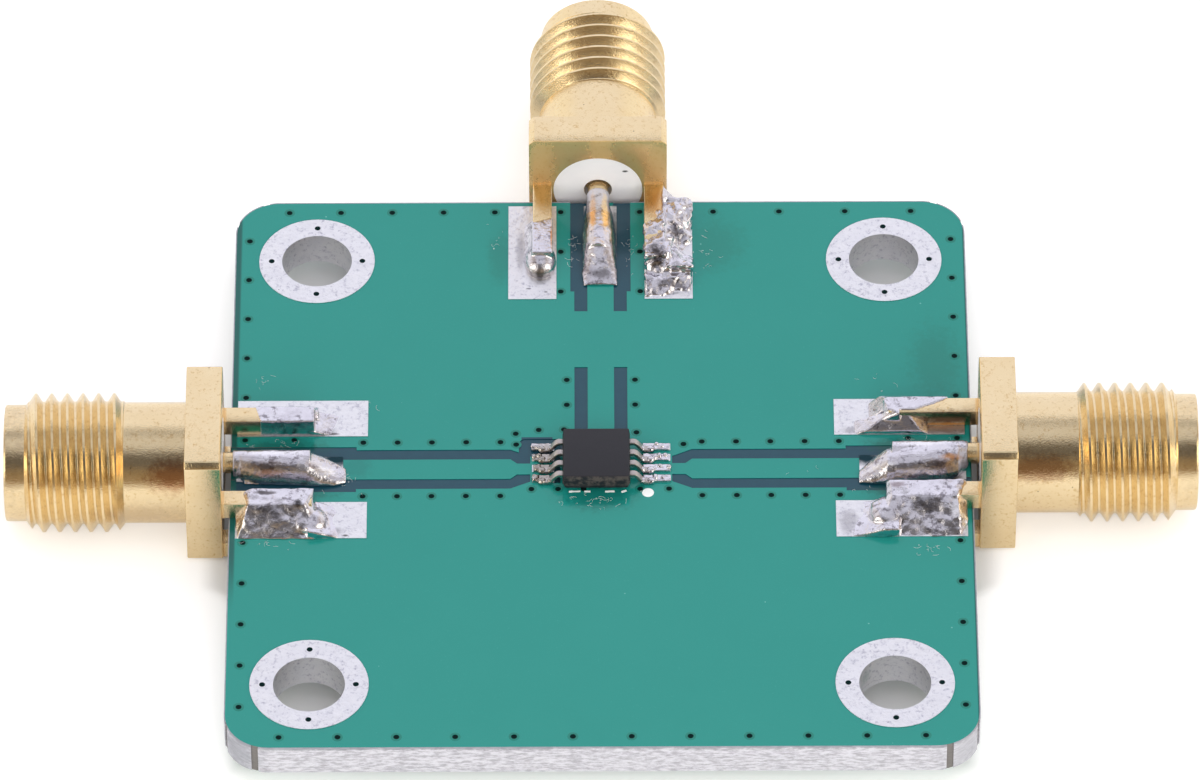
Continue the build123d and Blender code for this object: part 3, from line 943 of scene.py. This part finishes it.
def back_solder():
    """The back jack: a bead at one leg's tip, a long one over the pin, and a burnt mess at the other."""
    tip = upper_lump(
        [
            roof((-3.13, 12.6, base), (-2.19, 14.9, 2.57), ((-2.75, 14.68, 0), (-0.3, 0.95, 0))),
            roof((-3.55, 12.9, base), (-2.9, 15.2, 2.0), ((-3.15, 0, 1.98), (-0.72, 0, 0.69))),
            ball((-2.76, 12.8, 1.74), (0.74, 1.0, 0.7)),
        ],
        smoothing=14,
        wave=0.03,
        ripple=0.02,
    )
    pin = upper_lump(
        [
            bead("Y", [
                (11.4, 0.0, 0.78, 0.1), (12.1, -0.03, 0.82, 0.36), (12.8, -0.05, 0.8, 0.76),
                (13.4, -0.05, 0.8, 0.98), (14.2, -0.06, 0.8, 1.06), (15.2, -0.08, 0.74, 1.05),
                (16.0, -0.1, 0.62, 1.0), (16.65, -0.1, 0.48, 0.98),
            ]),
            rod((-0.1, 13.1, axis_height), (-0.1, 16.7, axis_height), 0.52, "Y"),
            roof((-0.75, 11.7, base), (-0.1, 13.2, 2.1), ((-0.5, 12.5, 1.95), (-0.3, -0.5, 0.8))),
            roof((-0.1, 11.7, base), (0.62, 13.2, 2.15), ((0.3, 12.5, 2.0), (0.35, -0.4, 0.83))),
        ],
        smoothing=4,
        wave=0.04,
        wave_size=0.8,
        ripple=0.03,
        ripple_size=0.2,
    )
    mess = upper_lump(
        [
            roof((2.03, 12.4, base), (2.95, 15.2, 2.58), ((2.5, 14.78, 0), (-0.58, 0.81, 0))),
            roof((2.6, 12.7, base), (4.2, 16.2, 2.5), ((3.1, 14.4, 2.4), (0.5, -0.3, 0.83))),
            roof((2.85, 15.0, base), (3.6, 16.7, 2.8), ((2.98, 16.0, 2.6), (0.85, -0.1, 0.5))),
            roof((2.1, 11.5, base), (3.2, 13.4, 2.6), ((2.7, 12.4, 2.4), (-0.2, -0.5, 0.84))),
            roof((3.0, 11.9, base), (4.2, 13.6, 2.4), ((3.6, 12.8, 2.2), (0.4, 0.45, 0.8))),
            roof((2.05, 10.7, base), (4.15, 12.0, 2.0), ((3.1, 11.3, 1.9), (0.1, -0.5, 0.86))),
        ],
        smoothing=5,
        wave=0.26,
        wave_size=0.5,
        ripple=0.05,
        ripple_size=0.25,
    )
    return [tip, mess], pin


def lower_solder(port):
    """Plain fillets along a jack's two lower legs, made at the origin and turned to their port."""
    turn, shift = port_places[port]
    lumps = []
    for side in (-1, 1):
        y = side * leg_offset + shift
        lump = melted(
            [
                block((flange_face - 2.55, y, -0.48), (3.1, leg_width + 0.1, leg_height + 0.1), 0.05),
                ball((flange_face - 2.6, y, underside_land), (2.0, 0.85, 0.42)),
                ball((flange_face - 4.1, y, underside_land), (0.7, 0.5, 0.5)),
            ],
            voxel=0.06,
        )
        lumps.append(trimmed(lump, (0, 0, underside_land), (0, 0, 1)))
    piece = joined(lumps)
    piece.rotation_euler = (0, 0, math.radians(turn))
    return settled(piece)


def pin_solder_finish():
    """Solder over the pins, with flux burnt on in front, painted white highlights on the tops and toes, and
    gold-toned and grey streaks along the back pin.
    """
    amber, brown, soot, pale = (206, 142, 70), (112, 84, 66), (48, 38, 34), (252, 250, 252)
    # The near-white patches on the left and right pin fillets' tops and toes are painted highlights.
    return solder_finish(
        "port_solder",
        [
            ((-14.9, -0.55, 2.35), (1.3, 0.3, 0.5), brown, 0.6),
            ((-14.8, -0.75, 2.1), (1.0, 0.16, 0.4), amber, 0.5),
            ((-14.8, 0.15, 2.64), (1.9, 0.3, 0.3), pale, 0.7),
            ((-12.4, -0.55, 2.1), (0.8, 0.3, 0.6), pale, 0.9),
            ((15.2, -0.5, 2.3), (1.1, 0.35, 0.5), brown, 0.7),
            ((15.7, -0.2, 2.5), (0.7, 0.22, 0.3), amber, 0.8),
            ((14.4, 0.6, 2.64), (1.8, 0.3, 0.3), pale, 0.7),
            ((12.6, -0.5, 2.2), (0.9, 0.2, 0.6), pale, 0.8),
            ((-0.34, 15.2, 2.6), (0.2, 1.5, 0.4), (226, 176, 118), 0.6),
            ((0.25, 15.2, 2.6), (0.24, 1.5, 0.4), (255, 226, 168), 0.8),
            ((-0.62, 15.0, 2.3), (0.2, 1.5, 0.5), (112, 110, 122), 0.6),
            ((0.0, 11.9, 1.9), (0.7, 0.4, 0.3), soot, 0.6),
        ],
    )


def leg_solder_finish():
    """Solder along the legs, greyed and sooty in patches, with a few painted white highlights and painted
    shade at the front of the back jack's tip bead.
    """
    amber, soot, pale = (206, 142, 70), (48, 38, 34), (252, 250, 252)
    # The near-white patches on the left and right heaps are painted highlights; the grey at the front of the
    # back tip bead is painted shade.
    return solder_finish(
        "burnt_solder",
        [
            ((2.6, 12.6, 2.3), (0.55, 0.9, 0.8), soot, 0.9),
            ((3.6, 14.3, 2.2), (0.55, 0.45, 0.8), (70, 68, 78), 0.85),
            ((3.3, 11.3, 1.9), (0.9, 0.25, 0.5), soot, 0.6),
            ((-13.62, -2.96, 2.5), (0.26, 0.3, 0.4), (30, 24, 24), 0.95),
            ((-15.1, -2.35, 2.6), (0.75, 0.16, 0.3), soot, 0.8),
            ((-14.9, -3.4, 2.3), (0.9, 0.6, 0.6), (112, 108, 114), 0.6),
            ((-16.1, -3.9, 2.0), (0.3, 0.5, 0.6), pale, 0.9),
            ((-13.0, 2.5, 2.3), (0.2, 0.5, 0.4), (110, 106, 112), 0.7),
            ((14.6, -2.9, 2.4), (0.9, 0.6, 0.5), (104, 102, 110), 0.6),
            ((15.95, -3.2, 2.3), (0.4, 0.6, 0.5), pale, 0.9),
            ((13.3, -2.0, 2.6), (0.5, 0.25, 0.3), (112, 86, 84), 0.6),
            ((16.3, -4.1, 1.8), (0.2, 0.3, 0.3), amber, 0.8),
            ((-2.8, 11.95, 1.8), (0.8, 0.3, 0.4), (96, 94, 100), 0.8),
            ((-2.25, 13.6, 2.5), (0.07, 1.0, 0.4), amber, 0.7),
        ],
    )


def make_port_solder(over_pins, along_legs):
    for port, form in (("left", left_solder), ("right", right_solder), ("back", back_solder)):
        legs, pin = form()
        legs.append(lower_solder(port))
        finished(joined(legs), f"{port}_leg_fillets", along_legs, [f"{port}_leg_solder"])
        finished(pin, f"{port}_pin_fillet", over_pins, [f"{port}_signal_solder"])


# Mixer chip

def make_package(finish):
    """The moulded body, drafted both ways from the plane of its leads."""
    half = chip_thickness / 2
    put_down()
    bpy.ops.mesh.primitive_plane_add(size=chip_side, location=(chip_x, chip_y, lead_plane))
    piece = settled(bpy.context.object)
    upper = copied(piece)
    for form, lift, draft in ((piece, -half, 15), (upper, half, 7)):
        share = 1 - 2 * half * math.tan(math.radians(draft)) / chip_side
        open_up(form)
        bpy.ops.mesh.extrude_region_move(TRANSFORM_OT_translate={"value": (0, 0, lift)})
        middle = (chip_x, chip_y, lead_plane + lift)
        bpy.ops.transform.resize(value=(share, share, 1), center_override=middle)
        put_down()
    piece = joined([piece, upper])
    open_up(piece)
    pick(
        piece, "FACE",
        lambda f: abs(f.calc_center_median().z - lead_plane) < 0.001 and abs(f.normal.z) > 0.9,
    )
    bpy.ops.mesh.delete(type="FACE")
    closed_up(piece)
    shaped(piece, "BEVEL", width=edge_break, segments=3, limit_method="ANGLE", angle_limit=0.6)
    finished(piece, "chip_moulding", finish, ["chip_package"], 40)


def make_leads(finish):
    """Eight gull-wing leads: one strip is bent and thickened, then copied."""
    put_down()
    start = chip_side / 2 - 0.3
    bpy.ops.mesh.primitive_plane_add(size=0.3, location=(start, 0, lead_plane))
    strip = settled(bpy.context.object)
    open_up(strip)
    pick(strip, "VERT", lambda v: v.co.x > start)
    foot = land_top + 0.075
    side = chip_side / 2
    path = [
        (side + 0.10, lead_plane + 0.05), (side + 0.22, lead_plane + 0.04),
        (side + 0.34, lead_plane - 0.08), (side + 0.46, foot + 0.17),
        (side + 0.58, foot + 0.03), (side + 0.70, foot), (lead_reach, foot),
    ]
    x, z = start + 0.15, lead_plane
    for next_x, next_z in path:
        bpy.ops.mesh.extrude_region_move(TRANSFORM_OT_translate={"value": (next_x - x, 0, next_z - z)})
        x, z = next_x, next_z
    put_down()
    shaped(strip, "SOLIDIFY", thickness=0.17, offset=0)
    shaped(strip, "BEVEL", width=0.03, segments=2, limit_method="ANGLE", angle_limit=0.9)
    shaped(strip, "SUBSURF", levels=1, render_levels=1)
    leads = []
    for turn in (0, 180):
        for row in range(4):
            lead = copied(strip)
            lead.rotation_euler = (0, 0, math.radians(turn))
            lead.location = (chip_x, chip_y + lead_pitch * (row - 1.5), 0)
            leads.append(settled(lead))
    bpy.data.objects.remove(strip)
    finished(joined(leads), "chip_lead_strips", finish, ["chip_leads"], 50)


def foot_solder_finish():
    return solder_finish("foot_solder", [((-2.6, 0.0, 1.8), (1.1, 2.2, 0.6), (158, 150, 138), 0.8)])


def make_chip_solder(finish):
    """Solder at the eight feet: humps over the toes, then flat and bright to the ends of the lands."""
    lumps = []
    chance = random.Random(5)
    for side in (-1, 1):
        for row in range(4):
            y = chip_y + lead_pitch * (row - 1.5)
            land_y = lead_pitch / 2 + lead_pitch * (row - 1.5)
            toe = chip_x + side * lead_reach
            end = side * chance.uniform(3.04, 3.16)
            forms = [
                roof(
                    (min(toe - side * 0.35, end), land_y - 0.22, land_top - 0.05),
                    (max(toe - side * 0.35, end), land_y + 0.17, land_top + 0.09),
                ),
                ball((toe, y, land_top + 0.08), (0.2, 0.18, 0.15)),
                ball((toe - side * 0.36, y - 0.04, land_top + 0.16), (0.12, 0.14, 0.13)),
            ]
            for _ in range(4):
                place = toe + (end - toe) * chance.uniform(0.2, 1)
                size = chance.uniform(0.07, 0.13)
                across = land_y + chance.uniform(-0.1, 0.1)
                forms.append(ball((place, across, land_top + 0.07), (size,) * 3))
            lumps.append(upper_lump(forms, voxel=0.022, smoothing=3, wave=0.05, wave_size=0.2, ripple=0.0))
    finished(joined(lumps), "chip_foot_solder", finish, ["chip_solder"])


# Vias, marks and lint

def evenly(first, last, count):
    """Evenly spaced numbers from the first to the last."""
    return [first + (last - first) * step / (count - 1) for step in range(count)]


def via_places():
    """Centres of the small vias, in the rows that the board is drilled in."""
    line, reach = 16.1, 14.3
    spots = [(x, -line) for x in evenly(-reach, reach, 12)]
    spots += [(-x, line) for x in evenly(4.85, reach, 5)] + [(x, line) for x in evenly(5.2, reach, 4)]
    for y in evenly(4.45, reach, 5):
        spots += [(x, side * y) for x in (-line, line) for side in (-1, 1)]
    for side in (-1, 1):
        for x in evenly(4.55, 10.75, 5):
            spots += [(x, side * 1.65), (-x, side * 1.65)]
        for x in evenly(11.65, 16.1, 3)[1:]:
            spots += [(x, side * 1.82), (-x, side * 1.82)]
        spots += [(side * 1.82, y) for y in evenly(11.05, 16.1, 3)]
        spots += [(side * 1.55, y) for y in (3.95, 5.5)]
    spots += [(x, -1.24) for x in (-3.15, -1.95, -0.8, 1.75, 3.05)]
    spots += [(-3.86, 2.17), (-3.84, 1.5), (-2.82, 2.4), (-1.68, 2.42), (1.6, 2.23), (3.72, 1.5)]
    return spots


def via_form(rim, well):
    """A small ring of mask that sinks to a flat dark disc on the board's top, painted shade standing for the
    via's hole.
    """
    put_down()
    bpy.ops.mesh.primitive_circle_add(
        vertices=12, radius=0.25, fill_type="NGON", location=(0, 0, board_top)
    )
    piece = settled(bpy.context.object)
    open_up(piece)
    bpy.ops.mesh.select_mode(type="FACE")
    bpy.ops.mesh.inset(thickness=0.06, depth=0.012)
    bpy.ops.mesh.inset(thickness=0.05, depth=-0.009)
    put_down()
    piece.data.materials.append(rim)
    piece.data.materials.append(well)
    open_up(piece)
    pick(piece, "FACE", lambda f: len(f.verts) > 4)
    piece.active_material_index = 1
    bpy.ops.object.material_slot_assign()
    put_down()
    return piece


def make_via_rims(rim, well):
    """The rims of the board's small vias, on both faces."""
    form = via_form(rim, well)
    copies = []
    for x, y in via_places():
        for turn in (0, 180):
            dimple = copied(form)
            dimple.rotation_euler = (math.radians(turn), 0, 0)
            dimple.location = (x, y, board_top if turn else 0)
            copies.append(settled(dimple))
    bpy.data.objects.remove(form)
    finished(joined(copies), "via_rims", None, smooth=50)


def make_ring_vias(tin, well):
    """Four vias in the top of each mounting ring. Tin has filled one, behind the front right hole."""
    hole, reach = hole_spacing / 2, 2.08
    form = via_form(tin, well)
    copies = []
    for hole_x in (-hole, hole):
        for hole_y in (-hole, hole):
            for x, y in ((reach, 0), (0, reach), (-reach, 0), (0, -reach)):
                dimple = copied(form)
                dimple.location = (hole_x + x, hole_y + y, ring_top - board_top)
                if (hole_x, hole_y, y) == (hole, -hole, reach):
                    dimple.data.materials[1] = tin
                copies.append(settled(dimple))
    bpy.data.objects.remove(form)
    finished(joined(copies), "ring_vias", None, smooth=50)


def make_marks(ink):
    """Printed marks: the broken line in front of the chip and the dot at its first lead."""
    marks = []
    for start, end, tilt in ((-1.46, -0.94, 2), (-0.77, -0.49, -1), (0.17, 0.59, 1), (0.90, 1.14, 24)):
        mark = block(
            ((start + end) / 2, -1.4, board_top + 0.008), (end - start, 0.1, 0.02), 0.008, tilt
        )
        open_up(mark)
        bpy.ops.mesh.subdivide(number_cuts=3)
        put_down()
        shaped(mark, "DISPLACE", texture=unrest(0.12), strength=0.03, texture_coords="LOCAL")
        marks.append(mark)
    dot = turned([(0, 0.27), (0.012, 0.25), (0.018, 0.2)], 24, capped=True)
    dot.rotation_euler = (0, -math.pi / 2, 0)
    dot.location = (2.1, -1.47, board_top)
    marks.append(settled(dot))
    finished(joined(marks), "printed_marks", ink)


def hair(radius, sweep):
    """A fine curved fibre that lies level: a small ring spun about an upright axis."""
    put_down()
    bpy.ops.mesh.primitive_circle_add(
        vertices=5, radius=0.005, location=(radius, 0, 0), rotation=(math.pi / 2, 0, 0)
    )
    piece = settled(bpy.context.object)
    open_up(piece)
    bpy.ops.mesh.spin(steps=8, angle=math.radians(sweep), center=(0, 0, 0), axis=(0, 0, 1))
    bpy.ops.mesh.select_all(action="SELECT")
    bpy.ops.transform.translate(value=(-radius, 0, 0))
    return closed_up(piece)


def make_lint(pale):
    """Fine fibres and crumbs that cling to the flux round the chip and the jacks.

    Each field has its centre, its reach along X and Y, and how many strands it holds.
    """
    forms = [hair(0.3, 100), hair(0.11, 200), hair(0.9, 22), hair(0.04, 300)]
    fields = [
        (-0.2, -1.9, 1.3, 0.35, 15), (0.2, -2.4, 1.2, 0.3, 7), (-1.2, 13.9, 0.25, 1.3, 16),
        (1.3, 13.8, 0.25, 1.4, 14), (4.8, 13.5, 0.5, 1.4, 14), (-4.7, 14.2, 0.4, 1.4, 8),
        (-14.4, 1.6, 1.4, 0.3, 14), (-14.5, -1.35, 1.4, 0.2, 10), (-11.4, -0.6, 0.4, 0.7, 8),
        (-14.6, -4.6, 1.2, 0.2, 10), (-15.4, 5.4, 0.4, 0.5, 8), (14.4, 1.6, 1.3, 0.3, 12),
        (13.3, -1.3, 1.4, 0.2, 10), (14.8, -5.0, 0.5, 0.3, 12), (12.6, 5.2, 1.0, 0.5, 5),
        (-10.9, 3.2, 1.0, 0.8, 4), (9.5, -0.2, 0.6, 0.3, 3), (1.8, -1.5, 0.5, 0.3, 2),
    ]
    chance = random.Random(11)
    strands = []
    for x, y, wide, deep, count in fields:
        for _ in range(count):
            strand = copied(chance.choice(forms))
            size = chance.uniform(0.3, 0.9)
            strand.scale = (size, size, 1)
            strand.rotation_euler = (0, 0, chance.uniform(0, math.tau))
            strand.location = (chance.gauss(x, wide * 0.6), chance.gauss(y, deep * 0.6), board_top + 0.02)
            strands.append(settled(strand))
    for form in forms:
        bpy.data.objects.remove(form)
    finished(joined(strands), "lint", pale)


# Studio

def make_floor():
    """A pale floor. It glows for the camera, less for what mirrors it, and hardly under the board or beside
    the left and right jacks: painted shade on the floor.
    """
    put_down()
    bpy.ops.mesh.primitive_plane_add(size=4, location=(0, 0, -0.00108))
    floor = bpy.context.object
    floor.name = "studio_floor"
    material, tree, shader = new_finish("pale_floor", Roughness=0.9)
    shader.inputs["Specular IOR Level"].default_value = 0.0
    place = add(tree, "ShaderNodeTexCoord").outputs["Object"]
    pale = tint(tree, cloud(tree, place, 3.0), colour(232, 232, 232), colour(235, 235, 235))
    path = add(tree, "ShaderNodeLightPath").outputs
    mirrored = sums(tree, "MULTIPLY", path["Is Glossy Ray"], 0.3)
    seen = sums(tree, "MAXIMUM", path["Is Camera Ray"], mirrored)
    where = axes(tree, place)
    depth = sums(tree, "ABSOLUTE", where["Y"])
    shift = 0.0011
    along = sums(tree, "ADD", sums(tree, "ABSOLUTE", sums(tree, "SUBTRACT", where["Y"], shift)), shift)
    clear_of_jacks = sums(tree, "MULTIPLY", soft_step(tree, depth, 0.0045, 0.0060), 0.0014)
    beside = sums(tree, "ADD", sums(tree, "ABSOLUTE", where["X"]), clear_of_jacks)
    outward = sums(tree, "MAXIMUM", beside, along)
    # Less glow under the module and in the gaps beside its side jacks paints shade on the floor.
    under_board, in_the_open = 0.05, 0.34
    glow_level = spread(tree, soft_step(tree, outward, 0.0171, 0.0184), under_board, in_the_open)
    strength = sums(tree, "MULTIPLY", seen, glow_level)
    glow = add(tree, "ShaderNodeEmission", {"Color": (1, 1, 1, 1), "Strength": strength})
    both = add(tree, "ShaderNodeAddShader", {0: shader.outputs[0], 1: glow.outputs[0]})
    tree.links.new(pale, shader.inputs["Base Color"])
    tree.links.new(both.outputs[0], tree.nodes["Material Output"].inputs["Surface"])
    floor.data.materials.append(material)


def make_room():
    """White walls behind and above, and the dark side that the camera stands on."""
    world = bpy.data.worlds.new("studio")
    bpy.context.scene.world = world
    world.use_nodes = True
    tree = world.node_tree
    heading = axes(tree, add(tree, "ShaderNodeTexCoord").outputs["Generated"])
    front = sums(tree, "MULTIPLY", heading["Y"], -1.0)
    climb = sums(tree, "DIVIDE", sums(tree, "ARCTAN2", heading["Z"], front), math.pi)
    ramp = add(tree, "ShaderNodeValToRGB", {"Fac": climb})
    # Brightness at each angle of the climb, in degrees from the front horizon over the top to the back
    stops = [
        (0, (0.38, 0.29, 0.20)), (30, (0.32, 0.25, 0.17)), (38, (0.15, 0.14, 0.14)),
        (66, (0.17, 0.16, 0.16)), (71, (0.70, 0.70, 0.76)), (104, (0.72, 0.72, 0.78)),
        (107, (0.18, 0.17, 0.17)), (111, (0.18, 0.17, 0.17)),
        (115, (1.0, 1.0, 1.10)), (180, (1.0, 1.0, 1.10)),
    ]
    side_stops = [
        (0, (0.85, 0.78, 0.70)), (6, (0.85, 0.78, 0.70)), (9, (0.16, 0.12, 0.10)),
        (13, (0.16, 0.12, 0.10)), (18, (2.8, 2.65, 2.35)), (66, (2.8, 2.65, 2.35)),
        (76, (0.32, 0.26, 0.22)), (104, (0.50, 0.42, 0.36)),
        (122, (1.0, 0.95, 0.92)), (180, (1.1, 1.1, 1.12)),
    ]
    side_ramp = add(tree, "ShaderNodeValToRGB", {"Fac": climb})
    for band, levels in ((ramp.color_ramp, stops), (side_ramp.color_ramp, side_stops)):
        for position, value in levels[1:-1]:
            band.elements.new(position / 180).color = (*value, 1)
        band.elements[0].color = (*levels[0][1], 1)
        band.elements[-1].color = (*levels[-1][1], 1)
    sideways = sums(tree, "ABSOLUTE", heading["X"])
    walls = tint(
        tree, soft_step(tree, sideways, 0.46, 0.62), ramp.outputs["Color"], side_ramp.outputs["Color"]
    )
    path = add(tree, "ShaderNodeLightPath").outputs
    shown = tint(tree, path["Is Camera Ray"], walls, (1, 1, 1, 1))
    background = tree.nodes["Background"]
    tree.links.new(shown, background.inputs["Color"])
    background.inputs["Strength"].default_value = 1.0


def soft_lamp(name, place, size, power, tilt):
    """A broad lamp for the matt surfaces. Metal mirrors the room instead of it."""
    put_down()
    bpy.ops.object.light_add(type="AREA", location=place, rotation=(math.radians(tilt), 0, 0))
    lamp = bpy.context.object
    lamp.name = name
    lamp.data.size = size
    lamp.data.energy = power
    lamp.visible_glossy = False


def make_lamps():
    soft_lamp("overhead", (0.1, 0, 0.6), 0.9, 1.1, 0)
    soft_lamp("front_fill", (0.12, -0.6, 0.3), 0.6, 2.8, 62)


def make_camera():
    """The photograph's view: a long lens, 47 degrees above the horizon."""
    elevation, heading, roll = 46.853473, -0.057525, 0.156471
    facing = Euler((math.radians(90 - elevation), 0, math.radians(heading))).to_matrix()
    facing = facing @ Matrix.Rotation(math.radians(-roll), 3, "Z")
    put_down()
    place = (-0.00040138, -0.35432288, 0.38481306)
    bpy.ops.object.camera_add(location=place, rotation=facing.to_euler())
    camera = bpy.context.object
    camera.data.lens = 347.036
    camera.data.sensor_width = 36
    camera.data.clip_start = 0.05
    camera.data.clip_end = 10
    bpy.context.scene.camera = camera


def set_view():
    bpy.context.scene.view_settings.view_transform = "Standard"


def land_shade_and_pits():
    """Patches on the lands: painted shade beside the solder in slate, brown and grey, and small dark pits:
    centre, reach, tone and share.
    """
    grey, pit, slate = (126, 122, 130), (44, 38, 42), (36, 62, 70)
    stains = [
        ((-11.9, 0.62), (1.3, 0.6), slate, 1.0), ((11.9, 0.62), (1.3, 0.6), slate, 1.0),
        ((0.66, 14.0), (0.3, 3.4), slate, 0.8), ((-0.72, 15.4), (0.2, 1.6), slate, 0.7),
        ((15.6, -0.7), (0.9, 0.25), (58, 46, 38), 0.9), ((-15.0, -0.8), (1.4, 0.2), slate, 0.8),
        ((-12.3, -3.8), (0.9, 0.4), grey, 0.6), ((-12.7, -4.02), (0.2, 0.1), pit, 0.9),
        ((-12.2, -4.06), (0.16, 0.09), pit, 0.9), ((-11.5, -4.06), (0.2, 0.09), pit, 0.8),
        ((-12.6, 2.35), (0.8, 0.3), grey, 0.6), ((-12.2, 2.16), (0.5, 0.12), (84, 74, 74), 0.8),
        ((11.1, -3.3), (0.6, 1.0), grey, 0.45), ((11.7, -3.9), (0.5, 0.14), pit, 0.7),
        ((11.5, 2.3), (0.9, 0.3), grey, 0.5), ((-3.65, 13.6), (0.3, 1.7), grey, 0.45),
        ((-3.3, 11.2), (0.16, 0.05), pit, 0.8), ((-2.5, 11.0), (0.12, 0.06), pit, 0.8),
        ((3.0, 10.9), (0.9, 0.14), pit, 0.5),
    ]
    return [
        ((x, y, land_top), (wide, deep, 0.5), tone, share)
        for (x, y), (wide, deep), tone, share in stains
    ]


def dress_nodes(tin, edge, mask, sleeve):
    """Finishes for the solid parts that stay in view."""
    lands = tin_finish("land_tin", land_shade_and_pits())
    green_barrel = [((12.2, -12.3, 0.9), (0.75, 0.6, 0.8), (70, 150, 136), 0.9)]
    finishes = {
        "circuit_board": mask,
        "edge_plating": edge,
        "mounting_rings": tin_finish("ring_tin", green_barrel),
        "signal_lands": lands,
        "upper_ground_lands": lands,
        "lower_ground_lands": tin,
        "chip_lands": tin_finish("chip_land_tin", shade_under_leads=True),
        "left_jack_insulator": sleeve,
        "right_jack_insulator": sleeve,
        "back_jack_insulator": sleeve,
    }
    for name, finish in finishes.items():
        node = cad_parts[name]
        node.data.materials.clear()
        node.data.materials.append(finish)


scattered_specks = specks_group()
grain_over_waves = grain_group()
single_spot = spot_group()

make_camera()
set_view()
make_room()
make_lamps()
make_floor()
tin = tin_finish()
dress_nodes(tin, edge_finish(), mask_finish(), fluoropolymer_finish())
make_jacks(gold_finish())
make_port_solder(pin_solder_finish(), leg_solder_finish())
make_package(moulding_finish())
make_leads(lead_finish())
make_chip_solder(foot_solder_finish())
well = via_hole_shade_finish()
make_via_rims(via_rim_finish(), well)
make_ring_vias(tin, well)
ink = ink_finish()
make_marks(ink)
make_lint(ink)
